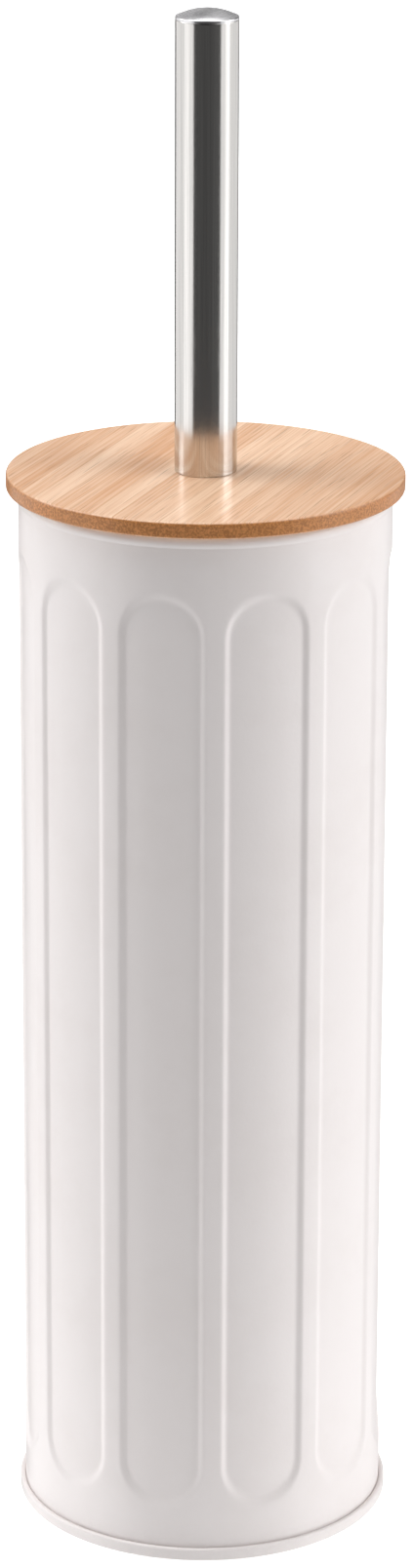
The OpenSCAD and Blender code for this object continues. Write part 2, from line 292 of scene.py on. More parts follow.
def makeBamboo():
    look = bambooLook
    material, tree, sockets, place = newMaterial("bamboo", ior=1.48, coat=0.32, coatRoughness=0.2)
    grain = turned(tree, place, (0.0, 0.0, look["grainTurn"]))
    part = addNode(tree, "ShaderNodeSeparateXYZ", {}, {"Vector": grain})
    strip = calc(tree, "DIVIDE", part.outputs["Y"], look["stripWidth"])
    stripNumber = calc(tree, "FLOOR", strip)
    stripTone = addNode(tree, "ShaderNodeTexWhiteNoise", {"noise_dimensions": "1D"}, {"W": stripNumber})
    # every strip is a different piece of cane, so its fibres are shifted along
    shift = calc(tree, "MULTIPLY", stripTone.outputs["Value"], 0.21)
    shifted = addNode(tree, "ShaderNodeCombineXYZ", {},
                      {"X": calc(tree, "ADD", part.outputs["X"], shift),
                       "Y": part.outputs["Y"], "Z": part.outputs["Z"]}).outputs["Vector"]
    broad = effect(tree, fibres, "Tone", vector=shifted, length=0.06, width=0.003, detail=2.0)
    lines = effect(tree, fibres, "Tone", vector=shifted, length=0.055, width=0.00055, detail=3.5)
    flecks = effect(tree, fibres, "Tone", vector=shifted, length=0.017, width=0.00034, detail=1.5)
    tone = calc(tree, "MULTIPLY_ADD", lines, 0.9, calc(tree, "MULTIPLY", broad, 0.5))
    tone = calc(tree, "MULTIPLY_ADD", stripTone.outputs["Value"], 0.3, tone)
    colour = mixColour(tree, ramp(tree, tone, 0.0, 1.0, 0.62, 1.06), look["light"], look["warm"])
    fleckMask = ramp(tree, flecks, 0.0, 0.62, 0.6, 0.72, "SMOOTHSTEP")
    colour = mixColour(tree, fleckMask, colour, look["fleck"])
    gap = calc(tree, "ABSOLUTE", calc(tree, "SUBTRACT", calc(tree, "SUBTRACT", strip, stripNumber), 0.5))
    gapMask = ramp(tree, gap, 0.0, 0.5, 0.478, 0.494, "SMOOTHSTEP")
    colour = mixColour(tree, gapMask, colour, look["glueLine"])
    # the turned edge shows the ends of the fibres, and has been singed darker
    normal = tree.nodes.new("ShaderNodeTexCoord").outputs["Normal"]
    up = addNode(tree, "ShaderNodeSeparateXYZ", {}, {"Vector": normal})
    steep = calc(tree, "ABSOLUTE", up.outputs["Z"])
    edgeMask = ramp(tree, steep, 1.0, 0.0, 0.35, 0.85, "SMOOTHSTEP")
    pores = effect(tree, fineGrain, "Height", vector=place, size=0.0006, roughen=0.7)
    layers = effect(tree, fibres, "Tone", vector=turned(tree, place, (0.0, math.radians(90), 0.0)),
                    length=0.0016, width=0.0005, detail=3.0)
    edgeTone = ramp(tree, calc(tree, "MULTIPLY_ADD", layers, 0.3, pores), 0.1, 0.62, 0.86, 1.12)
    edgeColour = mixColour(tree, calc(tree, "MULTIPLY", stripTone.outputs["Value"], 0.55), look["edge"],
                           look["edgeBand"])
    edgeColour = mixColour(tree, edgeTone, edgeColour, look["edgeDark"])
    colour = mixColour(tree, edgeMask, colour, edgeColour)
    link(tree, colour, sockets["Base Color"])
    link(tree, ramp(tree, lines, 0.34, 0.52, 0.3, 0.7), sockets["Roughness"])
    height = calc(tree, "SUBTRACT", lines, calc(tree, "MULTIPLY", fleckMask, 0.6))
    height = calc(tree, "SUBTRACT", height, gapMask)
    bump(tree, sockets, height, 0.00003, 0.8)
    return material


tubeLook = {
    "steel": rgb(0.72, 0.70, 0.68),
    "steelDark": rgb(0.60, 0.585, 0.57),
    "roughness": (0.1, 0.2),
}


def makeBrushedTube():
    look = tubeLook
    material, tree, sockets, place = newMaterial("brushedTube", metallic=1.0)
    upright = turned(tree, place, (0.0, math.radians(90), 0.0))  # lines run along the tube
    lines = effect(tree, fibres, "Tone", vector=upright, length=0.05, width=0.00022, detail=4.0)
    touched = effect(tree, handling, "Mask", vector=place, patch=0.02, coverage=0.4)
    link(tree, mixColour(tree, ramp(tree, lines, 0.0, 1.0, 0.35, 0.7), look["steel"], look["steelDark"]),
         sockets["Base Color"])
    rough = calc(tree, "ADD", ramp(tree, lines, *look["roughness"], 0.3, 0.7),
                 calc(tree, "MULTIPLY", touched, 0.05))
    link(tree, rough, sockets["Roughness"])
    bump(tree, sockets, lines, 0.000004, 0.5)
    return material


def makePolishedCap():
    material, tree, sockets, place = newMaterial("polishedCap", metallic=1.0, anisotropy=0.55)
    part = addNode(tree, "ShaderNodeSeparateXYZ", {}, {"Vector": place})
    squares = calc(tree, "ADD", calc(tree, "POWER", part.outputs["X"], 2.0),
                   calc(tree, "POWER", part.outputs["Y"], 2.0))
    radius = calc(tree, "SQRT", squares)
    turnMarks = addNode(tree, "ShaderNodeTexNoise", {"noise_dimensions": "1D"},
                        {"W": radius, "Scale": 5200.0, "Detail": 3.0}).outputs["Fac"]
    touched = effect(tree, handling, "Mask", vector=place, patch=0.008, coverage=0.45)
    link(tree, mixColour(tree, turnMarks, rgb(0.80, 0.79, 0.80), rgb(0.68, 0.67, 0.69)),
         sockets["Base Color"])
    link(tree, calc(tree, "MULTIPLY_ADD", touched, 0.06, ramp(tree, turnMarks, 0.17, 0.3, 0.3, 0.7)),
         sockets["Roughness"])
    tangent = addNode(tree, "ShaderNodeTangent", {"direction_type": "RADIAL", "axis": "Z"}, {})
    link(tree, tangent.outputs["Tangent"], sockets["Tangent"])
    bump(tree, sockets, turnMarks, 0.000003, 0.5)
    return material


def makeMoulded(name, light, dark, roughness, grainSize, grainDepth, glow=0.0, coverage=0.4, dustLow=None):
    material, tree, sockets, place = newMaterial(name, ior=1.49, glow=glow, glowScale=0.002)
    touched = effect(tree, handling, "Mask", vector=place, patch=0.018, coverage=coverage)
    grain = effect(tree, fineGrain, "Height", vector=place, size=grainSize, roughen=0.6)
    colour = mixColour(tree, calc(tree, "MULTIPLY", touched, 0.8), light, dark)
    if dustLow is not None:
        film = effect(tree, footDust, "Mask", vector=place, low=dustLow, high=dustLow + 0.02)
        colour = mixColour(tree, calc(tree, "MULTIPLY", film, 0.45), colour, rgb(0.52, 0.46, 0.38))
    link(tree, colour, sockets["Base Color"])
    link(tree, calc(tree, "MULTIPLY_ADD", touched, 0.08, ramp(tree, grain, *roughness, 0.4, 1.1)),
         sockets["Roughness"])
    bump(tree, sockets, grain, grainDepth, 1.0)
    return material


def makePlated(name, light, dark, tint, roughness):
    material, tree, sockets, place = newMaterial(name, metallic=1.0)
    touched = effect(tree, handling, "Mask", vector=place, patch=0.006, coverage=0.5)
    grain = effect(tree, fineGrain, "Height", vector=place, size=0.0004, roughen=0.6)
    lines = effect(tree, fibres, "Tone", vector=place, length=0.006, width=0.00015, detail=3.0)
    colour = mixColour(tree, ramp(tree, lines, 0.0, 1.0, 0.35, 0.7), light, dark)
    colour = mixColour(tree, calc(tree, "MULTIPLY", touched, 0.5), colour, tint)
    link(tree, colour, sockets["Base Color"])
    link(tree, calc(tree, "MULTIPLY_ADD", touched, 0.12, ramp(tree, grain, *roughness, 0.4, 1.1)),
         sockets["Roughness"])
    bump(tree, sockets, grain, 0.000006, 0.8)
    return material


def makeNylon():
    # filaments darken towards their roots, as painted shade where the tufts crowd into the core, and are
    # whitest at their cut tips
    material, tree, sockets, place = newMaterial("whiteNylon", ior=1.53, glow=0.12, glowScale=0.001)
    strand = addNode(tree, "ShaderNodeAttribute", {"attribute_name": "strand"}, {})
    along = addNode(tree, "ShaderNodeAttribute", {"attribute_name": "along"}, {})
    colour = mixColour(tree, strand.outputs["Fac"], rgb(0.92, 0.92, 0.91), rgb(0.80, 0.81, 0.82))
    # painted shade: each strand is mixed towards grey near its root
    root = ramp(tree, along.outputs["Fac"], 0.5, 0.0, 0.0, 0.55)
    colour = mixColour(tree, root, colour, rgb(0.55, 0.56, 0.57))
    link(tree, colour, sockets["Base Color"])
    link(tree, ramp(tree, strand.outputs["Fac"], 0.3, 0.5), sockets["Roughness"])
    scuff = effect(tree, fineGrain, "Height", vector=place, size=0.0003, roughen=0.5)
    bump(tree, sockets, scuff, 0.000006, 0.6)
    return material


whiteEnamel = makeEnamel()
bamboo = makeBamboo()
brushedTube = makeBrushedTube()
polishedCap = makePolishedCap()
linerPlastic = makeMoulded("linerPlastic", rgb(0.78, 0.79, 0.80), rgb(0.70, 0.71, 0.72), (0.33, 0.45),
                           0.0009, 0.00002, glow=0.1, dustLow=0.0065)
whitePlastic = makeMoulded("whitePlastic", rgb(0.88, 0.88, 0.86), rgb(0.82, 0.82, 0.80), (0.34, 0.46),
                           0.0007, 0.000018, glow=0.06)
silicone = makeMoulded("silicone", rgb(0.80, 0.80, 0.78), rgb(0.72, 0.72, 0.70), (0.5, 0.62),
                       0.0005, 0.00001, glow=0.3)
blackRubber = makeMoulded("blackRubber", rgb(0.035, 0.035, 0.036), rgb(0.06, 0.06, 0.06), (0.6, 0.75),
                          0.0004, 0.000015)
zincSteel = makePlated("zincSteel", rgb(0.70, 0.70, 0.69), rgb(0.56, 0.56, 0.56),
                       rgb(0.64, 0.62, 0.55), (0.22, 0.36))
brass = makePlated("brass", rgb(0.80, 0.62, 0.32), rgb(0.68, 0.50, 0.24), rgb(0.55, 0.38, 0.18), (0.22, 0.38))
whiteNylon = makeNylon()
print("finishes made:", len(bpy.data.materials))


# ---- turned, folded and cut shapes -----------------------------------------------------

def arcPoints(centre, radius, startDeg, endDeg, count):
    angles = np.radians(np.linspace(startDeg, endDeg, count))
    return [np.array((centre[0] + radius * math.cos(a), centre[1] + radius * math.sin(a))) for a in angles]


def edgeRows(points, closed, keep):
    # a row near each end of a long flat keeps its shading flat beside a rounded corner
    rows = []
    count = len(points)
    for i in range(count if closed else count - 1):
        here = points[i]
        after = points[(i + 1) % count]
        length = np.linalg.norm(after - here)
        rows.append(here)
        if length > 3 * keep:
            rows.append(here + (after - here) * keep / length)
            rows.append(after - (after - here) * keep / length)
    if not closed:
        rows.append(points[-1])
    return rows


def roundedSection(corners, closed=True, steps=5, keep=0.3):
    # corners are (radius, height, bend radius)
    points = []
    count = len(corners)
    for i, (r, z, bend) in enumerate(corners):
        here = np.array((r, z), float)
        if bend <= 0 or (not closed and i in (0, count - 1)):
            points.append(here)
            continue
        back = np.array(corners[i - 1][:2], float) - here
        ahead = np.array(corners[(i + 1) % count][:2], float) - here
        back /= np.linalg.norm(back)
        ahead /= np.linalg.norm(ahead)
        half = math.acos(max(-1.0, min(1.0, float(back @ ahead)))) / 2
        reach = bend / math.tan(half)
        middle = (back + ahead) / np.linalg.norm(back + ahead)
        centre = here + middle * bend / math.sin(half)
        first = here + back * reach - centre
        last = here + ahead * reach - centre
        sweep = math.pi - 2 * half
        for k in range(steps + 1):
            s = k / steps
            turn = first * math.sin((1 - s) * sweep) + last * math.sin(s * sweep)
            points.append(centre + turn / math.sin(sweep))
    return edgeRows(points, closed, keep)


def offsetPath(path, distance):
    points = np.array(path, float)
    step = np.diff(points, axis=0)
    step /= np.linalg.norm(step, axis=1)[:, None]
    side = np.stack([-step[:, 1], step[:, 0]], axis=1)
    mean = np.vstack([side[:1], side[:-1] + side[1:], side[-1:]])
    mean /= np.linalg.norm(mean, axis=1)[:, None]
    flat = np.vstack([side[:1], side])
    stretch = np.maximum((mean * flat).sum(axis=1), 0.5)[:, None]
    return points + mean * distance / stretch


def sheetSection(path, thickness, backPath=None):
    # the closed section of a sheet that is folded along a path, with slightly rounded cut ends
    front = offsetPath(path, thickness / 2)
    back = offsetPath(path if backPath is None else backPath, -thickness / 2)
    ends = []
    for tip, before in ((path[-1], path[-2]), (path[0], path[1])):
        along = np.array(tip) - np.array(before)
        ends.append(np.array(tip) + along / np.linalg.norm(along) * thickness * 0.2)
    return [*front, ends[0], *back[::-1], ends[1]]


def finishMesh(name, bm, material, sharpDeg=38):
    bmesh.ops.recalc_face_normals(bm, faces=bm.faces)
    for face in bm.faces:
        face.smooth = True
    for edge in bm.edges:
        if len(edge.link_faces) == 2:
            edge.smooth = edge.calc_face_angle(0) < math.radians(sharpDeg)
    mesh = bpy.data.meshes.new(name)
    bm.to_mesh(mesh)
    bm.free()
    mesh.materials.append(material)
    piece = bpy.data.objects.new(name, mesh)
    scene.collection.objects.link(piece)
    return piece


def latheInto(bm, section, steps, closed=True):
    angles = [2 * math.pi * k / steps for k in range(steps)]
    rings = []
    for r, z in section:
        if abs(r) < 1e-6:
            rings.append([bm.verts.new((0, 0, z * mm))])
        else:
            rings.append([bm.verts.new((r * mm * math.sin(a), -r * mm * math.cos(a), z * mm))
                          for a in angles])
    following = rings[1:] + (rings[:1] if closed else [])
    for lower, upper in zip(rings, following):
        for k in range(steps):
            corners = [lower[k % len(lower)], lower[(k + 1) % steps % len(lower)],
                       upper[(k + 1) % steps % len(upper)], upper[k % len(upper)]]
            corners = list(dict.fromkeys(corners))
            if len(corners) > 2:
                bm.faces.new(corners)


def lathe(name, section, steps, material, closed=True):
    bm = bmesh.new()
    latheInto(bm, section, steps, closed)
    return finishMesh(name, bm, material)


def tubeSection(inner, outer, low, high, edge):
    return roundedSection([(inner, low, edge), (outer, low, edge), (outer, high, edge), (inner, high, edge)],
                          keep=min(0.3, (high - low) / 8), steps=4)


def bakeModifiers(piece, sharpDeg=38):
    bpy.context.view_layer.update()
    depsgraph = bpy.context.evaluated_depsgraph_get()
    mesh = bpy.data.meshes.new_from_object(piece.evaluated_get(depsgraph), depsgraph=depsgraph)
    piece.modifiers.clear()
    piece.data = mesh
    mesh.name = piece.name
    if len(mesh.materials) > 1 and mesh.materials[0] is None:
        mesh.materials.pop(index=0)
    bm = bmesh.new()
    bm.from_mesh(mesh)
    bmesh.ops.recalc_face_normals(bm, faces=bm.faces)
    for face in bm.faces:
        face.smooth = True
    for edge in bm.edges:
        if len(edge.link_faces) == 2:
            edge.smooth = edge.calc_face_angle(0) < math.radians(sharpDeg)
    bm.to_mesh(mesh)
    bm.free()
    return piece


def combine(piece, tool, operation):
    # boolean of two closed meshes; the tool is used up
    modifier = piece.modifiers.new(operation, "BOOLEAN")
    modifier.operation = operation
    modifier.solver = "EXACT"
    modifier.object = tool
    bakeModifiers(piece)
    bpy.data.objects.remove(tool)
    return piece


def addNodesModifier(piece, tree, values):
    modifier = piece.modifiers.new(tree.name, "NODES")
    modifier.node_group = tree
    for item in tree.interface.items_tree:
        if item.item_type == "SOCKET" and item.in_out == "INPUT" and item.name in values:
            modifier[item.identifier] = values[item.name]


def boxesInto(bm, boxes):
    for low, high, turn in boxes:
        made = bmesh.ops.create_cube(bm, size=1.0)["verts"]
        for v in made:
            x, y, z = ((v.co[i] + 0.5) * (high[i] - low[i]) + low[i] for i in range(3))
            across = x * math.cos(turn) - y * math.sin(turn)
            along = x * math.sin(turn) + y * math.cos(turn)
            v.co = Vector((across, along, z)) * mm


def place(piece, body, slotName, *nodes):
    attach(piece, body)
    if nodes:
        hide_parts(*nodes)
    return piece


# ---- canister wall: a pressed sheet, hooked at the foot and rolled at the rim -----------

wall = {
    "sheet": 0.45,
    "radius": 48.0,
    "curlCentre": (46.5, 278.4),
    "curlRadius": 1.675,
    "curlEnd": 250,
    "neckRadius": 0.8,
    "hookTop": 2.5,
    "panels": 11,
    "turn": -13.3,
    "panelWidth": 21.22,
    "panelLow": 15.6,
    "panelHigh": 264.1,
    "panelDepth": 0.8,
    "edgeHalf": 1.0,
    "columns": 44,
    "seamAngle": 165.95,
    "seamHalf": 2.4,
    "seamHeight": 0.12,
}


def wallPath(fineStep):
    w = wall
    midR = w["radius"] - w["sheet"] / 2
    hookR = outerRadius("canister_wall") - w["sheet"] / 2
    footZ = bottom("canister_wall") + w["sheet"] / 2
    bend = 0.5
    path = [np.array((hookR, w["hookTop"])), np.array((hookR, footZ + bend + 0.5))]
    path += arcPoints((hookR - bend, footZ + bend), bend, 0, -90, 5)
    path += arcPoints((midR + bend, footZ + bend), bend, -90, -180, 5)
    rows = [2.2, 4.6, 8.0]
    rows += list(np.arange(w["panelLow"] - 2.2, w["panelLow"] + w["panelWidth"] / 2 + 1.5, fineStep))
    rows += list(np.linspace(w["panelLow"] + 16, w["panelHigh"] - 16, 9))
    rows += list(np.arange(w["panelHigh"] - w["panelWidth"] / 2 - 1.5, w["panelHigh"] + 2.2, fineStep))
    rows += [270.0, 274.0]
    path += [np.array((midR, z)) for z in rows]
    reach = w["curlRadius"] + w["neckRadius"]
    drop = math.acos((midR + w["neckRadius"] - w["curlCentre"][0]) / reach)
    neckZ = w["curlCentre"][1] - reach * math.sin(drop)
    path += arcPoints((midR + w["neckRadius"], neckZ), w["neckRadius"], 180, 180 - math.degrees(drop), 4)
    path += arcPoints(w["curlCentre"], w["curlRadius"], -math.degrees(drop), w["curlEnd"], 24)[1:]
    return path


def makePressedSheet():
    lengths = ("Radius", "Panel Width", "Panel Low", "Panel High", "Panel Depth", "Edge Half",
               "Seam Half", "Seam Height")
    inputs = [("Geometry", "NodeSocketGeometry", None), ("Panels", "NodeSocketInt", 11),
              ("Columns", "NodeSocketInt", 44), ("Turn", "NodeSocketFloat", 0.0),
              ("Seam Angle", "NodeSocketFloat", 0.0), ("Finish", "NodeSocketMaterial", None)]
    inputs += [(name, "NodeSocketFloat", 0.01) for name in lengths]
    tree, given, result = newTree("pressedSheet", "GeometryNodeTree", inputs,
                                  [("Geometry", "NodeSocketGeometry")])

    def do(operation, *values):
        return calc(tree, operation, *values)

    size = addNode(tree, "GeometryNodeAttributeDomainSize", {"component": "MESH"},
                   {"Geometry": given["Geometry"]})
    rowCount = size.outputs["Point Count"]
    around = do("ADD", do("MULTIPLY", given["Panels"], given["Columns"]), 1.0)
    grid = addNode(tree, "GeometryNodeMeshGrid", {},
                   {"Vertices X": do("ADD", rowCount, 1.0), "Vertices Y": around})
    index = tree.nodes.new("GeometryNodeInputIndex").outputs["Index"]
    row = do("MODULO", do("FLOOR", do("DIVIDE", do("ADD", index, 0.5), around)), rowCount)
    column = do("FLOOR", do("MODULO", do("ADD", index, 0.5), around))
    spot = tree.nodes.new("GeometryNodeInputPosition").outputs["Position"]
    sample = addNode(tree, "GeometryNodeSampleIndex", {"data_type": "FLOAT_VECTOR", "domain": "POINT"},
                     {"Geometry": given["Geometry"], "Index": row})
    link(tree, spot, sample.inputs["Value"])
    section = addNode(tree, "ShaderNodeSeparateXYZ", {}, {"Vector": sample.outputs["Value"]})
    # columns crowd together where a panel's edge falls
    panel = do("FLOOR", do("DIVIDE", do("ADD", column, 0.5), given["Columns"]))
    halfColumns = do("DIVIDE", given["Columns"], 2.0)
    within = do("SUBTRACT", column, do("MULTIPLY", panel, given["Columns"]))
    local = do("DIVIDE", do("SUBTRACT", within, halfColumns), halfColumns)
    share = do("ABSOLUTE", local)
    crowd = do("SINE", do("MULTIPLY", do("SUBTRACT", share, 0.2), 2 * math.pi))
    share = do("ADD", share, do("MULTIPLY", do("ADD", crowd, math.sin(0.4 * math.pi)), 0.5 / (2 * math.pi)))
    pitch = do("DIVIDE", 2 * math.pi, given["Panels"])
    halfAngle = do("MULTIPLY", share, do("MULTIPLY", pitch, 0.5))
    angle = do("ADD", given["Turn"], do("MULTIPLY", panel, pitch))
    angle = do("ADD", angle, do("MULTIPLY", do("SIGN", local), halfAngle))
    # distance to the round-ended outline of the panel
    across = do("MULTIPLY", halfAngle, given["Radius"])
    halfWidth = do("MULTIPLY", given["Panel Width"], 0.5)
    middle = do("MULTIPLY", do("ADD", given["Panel Low"], given["Panel High"]), 0.5)
    halfTall = do("MULTIPLY", do("SUBTRACT", given["Panel High"], given["Panel Low"]), 0.5)
    straight = do("SUBTRACT", halfTall, halfWidth)
    fromMiddle = do("ABSOLUTE", do("SUBTRACT", section.outputs["Z"], middle))
    beyond = do("MAXIMUM", do("SUBTRACT", fromMiddle, straight), 0.0)
    squares = do("ADD", do("MULTIPLY", across, across), do("MULTIPLY", beyond, beyond))
    outline = do("SUBTRACT", do("SQRT", squares), halfWidth)
    press = addNode(tree, "ShaderNodeMapRange", {"interpolation_type": "SMOOTHSTEP"},
                    {"Value": outline, "From Min": do("MULTIPLY", given["Edge Half"], -1.0),
                     "From Max": given["Edge Half"], "To Min": given["Panel Depth"], "To Max": 0.0})
    # the weld of the rolled sheet, ground nearly flush, on the plain strip at the back
    halfTurn = do("MULTIPLY", do("SUBTRACT", angle, given["Seam Angle"]), 0.5)
    offSeam = do("MULTIPLY", do("ABSOLUTE", do("SINE", halfTurn)), do("MULTIPLY", given["Radius"], 2.0))
    weld = addNode(tree, "ShaderNodeMapRange", {"interpolation_type": "SMOOTHSTEP"},
                   {"Value": offSeam, "From Min": do("MULTIPLY", given["Seam Half"], 0.6),
                    "From Max": given["Seam Half"], "To Min": given["Seam Height"], "To Max": 0.0})
    onWall = do("MULTIPLY", do("GREATER_THAN", section.outputs["Z"], 0.006),
                do("LESS_THAN", section.outputs["Z"], 0.2745))
    radius = do("SUBTRACT", section.outputs["X"], press.outputs["Result"])
    radius = do("ADD", radius, do("MULTIPLY", weld.outputs["Result"], onWall))
    where = addNode(tree, "ShaderNodeCombineXYZ", {},
                    {"X": do("MULTIPLY", radius, do("SINE", angle)),
                     "Y": do("MULTIPLY", radius, do("MULTIPLY", do("COSINE", angle), -1.0)),
                     "Z": section.outputs["Z"]})
    moved = addNode(tree, "GeometryNodeSetPosition", {},
                    {"Geometry": grid.outputs["Mesh"], "Position": where.outputs["Vector"]})
    merged = addNode(tree, "GeometryNodeMergeByDistance", {},
                     {"Geometry": moved.outputs["Geometry"], "Distance": 0.000004})
    smooth = addNode(tree, "GeometryNodeSetShadeSmooth", {}, {"Geometry": merged.outputs["Geometry"]})
    real = addNode(tree, "GeometryNodeRealizeInstances", {}, {"Geometry": smooth.outputs["Geometry"]})
    dressed = addNode(tree, "GeometryNodeSetMaterial", {},
                      {"Geometry": real.outputs["Geometry"], "Material": given["Finish"]})
    link(tree, dressed.outputs["Geometry"], result["Geometry"])
    return tree


def pointsObject(name, points, attributes=()):
    mesh = bpy.data.meshes.new(name)
    mesh.from_pydata([tuple(p) for p in points], [], [])
    for label, values in attributes:
        attribute = mesh.attributes.new(label, "FLOAT_VECTOR", "POINT")
        attribute.data.foreach_set("vector", np.array(values, np.float32).ravel())
    piece = bpy.data.objects.new(name, mesh)
    scene.collection.objects.link(piece)
    return piece


def buildWall():
    w = wall
    section = sheetSection(wallPath(0.5), w["sheet"], wallPath(1.0))
    piece = pointsObject("pressedWall", [(r * mm, 0, z * mm) for r, z in section])
    addNodesModifier(piece, makePressedSheet(), {
        "Panels": w["panels"],
        "Columns": w["columns"],
        "Turn": math.radians(w["turn"]),
        "Seam Angle": math.radians(w["seamAngle"]),
        "Finish": whiteEnamel,
        "Radius": w["radius"] * mm,
        "Panel Width": w["panelWidth"] * mm,
        "Panel Low": w["panelLow"] * mm,
        "Panel High": w["panelHigh"] * mm,
        "Panel Depth": w["panelDepth"] * mm,
        "Edge Half": w["edgeHalf"] * mm,
        "Seam Half": w["seamHalf"] * mm,
        "Seam Height": w["seamHeight"] * mm,
    })
    bakeModifiers(piece, 60)
    print("wall faces:", len(piece.data.polygons))
    return place(piece, "canister", "white_enamel", "canister_wall")


buildWall()


# ---- base: a sheet end, double seamed onto the wall ------------------------------------

base = {
    "sheet": 0.45,
    "chuckRadius": 47.295,
    "panelZ": 2.625,
    "groove": (26.775, 32.225, 1.0),
    "hookRadius": 48.255,
    "hookBottom": 1.25,
    "lipRound": 0.45,
}


def buildBase():
    b = base
    half = b["sheet"] / 2
    outR = outerRadius("base_plate") - half
    topZ = top("base_plate") - half
    grooveIn, grooveOut, grooveDepth = b["groove"]
    corners = [(0, b["panelZ"], 0), (grooveIn, b["panelZ"], 0.6),
               (grooveIn + 0.6, b["panelZ"] - grooveDepth, 0.6),
               (grooveOut - 0.6, b["panelZ"] - grooveDepth, 0.6), (grooveOut, b["panelZ"], 0.6),
               (b["chuckRadius"], b["panelZ"], 0.45), (b["chuckRadius"], half, 0.4), (outR, half, 0.45),
               (outR, topZ, b["lipRound"]), (b["hookRadius"], topZ, 0.45),
               (b["hookRadius"], b["hookBottom"], 0)]
    path = roundedSection(corners, closed=False, steps=4, keep=0.25)
    upper = offsetPath(path, half)
    lower = offsetPath(path, -half)
    upper[0][0] = 0
    lower[0][0] = 0
    section = [*upper, *lower[::-1]]
    piece = lathe("seamedBase", section, 192, whiteEnamel, closed=False)
    return place(piece, "canister", "white_enamel", "base_plate")


buildBase()


# ---- liner cup -------------------------------------------------------------------------

liner = {
    "wall": 1.6,
    "floor": 2.0,
    "heel": 5.0,
    "lipOut": 1.2,
    "lipTall": 4.0,
    "notchDepth": 11.0,
    "notchHalf": 12.5,
    "steps": 240,
}


def buildLiner():
    c = liner
    low = bottom("liner_cup")
    high = top("liner_cup")
    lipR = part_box("liner_cup")[1].y / mm  # the scoops cut the lip away along X
    outR = lipR - c["lipOut"]
    inR = outR - c["wall"]
    lipZ = high - c["lipTall"]
    corners = [(0, low, 0), (outR - c["heel"], low, 0), (outR, low, c["heel"]), (outR, lipZ, 0.35),
               (lipR, lipZ, 0.45), (lipR, high, 0.5), (inR, high, 0.45), (inR, low + c["floor"], c["heel"]),
               (0, low + c["floor"], 0)]
    corners.pop(1)
    section = roundedSection(corners, closed=False, steps=6, keep=0.4)
    rows = []
    for here, after in zip(section, section[1:]):
        count = max(1, int(abs(after[1] - here[1]) / 4)) if min(here[1], after[1]) > high - 70 else 1
        if abs(after[1] - here[1]) > 150:
            count = 48
        rows += [here + (after - here) * k / count for k in range(count)]
    rows.append(section[-1])
    bm = bmesh.new()
    latheInto(bm, rows, c["steps"], closed=False)
    span = 24.0  # height over which the wall gives way to the two finger scoops
    for v in bm.verts:
        z = v.co.z / mm
        y = abs(v.co.y) / mm
        if z < high - span - c["lipTall"] or y > c["notchHalf"] or abs(v.co.x) < 20 * mm:
            continue
        dip = c["notchDepth"] * (0.5 + 0.5 * math.cos(math.pi * y / c["notchHalf"])) ** 0.75
        share = min(1.0, (z - (high - span - c["lipTall"])) / span)
        v.co.z -= dip * share * mm
    piece = finishMesh("linerCup", bm, linerPlastic)
    return place(piece, "liner", "liner_plastic", "liner_cup")


buildLiner()
print("canister and liner built")


# ---- lid -------------------------------------------------------------------------------

lid = {
    "edge": 0.8,
    "hole": 6.35,
    "screwRing": 24.0,
    "screwRadius": 1.5,
    "screwBite": 2.8,
    "screwTurn": 30.0,
    "screws": 3,
}


def screwSpots():
    spots = []
    for k in range(lid["screws"]):
        a = math.radians(lid["screwTurn"] + k * 360 / lid["screws"])
        spots.append((lid["screwRing"] * math.cos(a), lid["screwRing"] * math.sin(a)))
    return spots


def pilotHoles(low, high, radius, name):
    bm = bmesh.new()
    for x, y in screwSpots():
        start = len(bm.verts)
        latheInto(bm, [(0, low), (radius, low), (radius, high), (0, high)], 24, closed=False)
        bm.verts.ensure_lookup_table()
        for v in bm.verts[start:]:
            v.co.x += x * mm
            v.co.y += y * mm
    return finishMesh(name, bm, whitePlastic)


def buildLidDisc():
    low = bottom("lid_disc")
    high = top("lid_disc")
    r = outerRadius("lid_disc")
    edge = lid["edge"]
    section = roundedSection([(lid["hole"], low, 0.25), (r, low, edge), (r, high, edge),
                              (lid["hole"], high, 0.25)],
                             steps=6, keep=0.4)
    piece = lathe("bambooDisc", section, 224, bamboo)
    holes = pilotHoles(low - 1, low + lid["screwBite"], lid["screwRadius"], "discPilots")
    combine(piece, holes, "DIFFERENCE")
    return place(piece, "lid", "bamboo", "lid_disc")


plug = {
    "web": 2.2,
    "skirt": 3.0,
    "boss": 9.0,
    "bore": 6.10,
    "ribs": 6,
    "seatRadius": 42.1,
    "seatLow": bottom("lid_gasket"),
    "seatHigh": top("lid_gasket"),
}


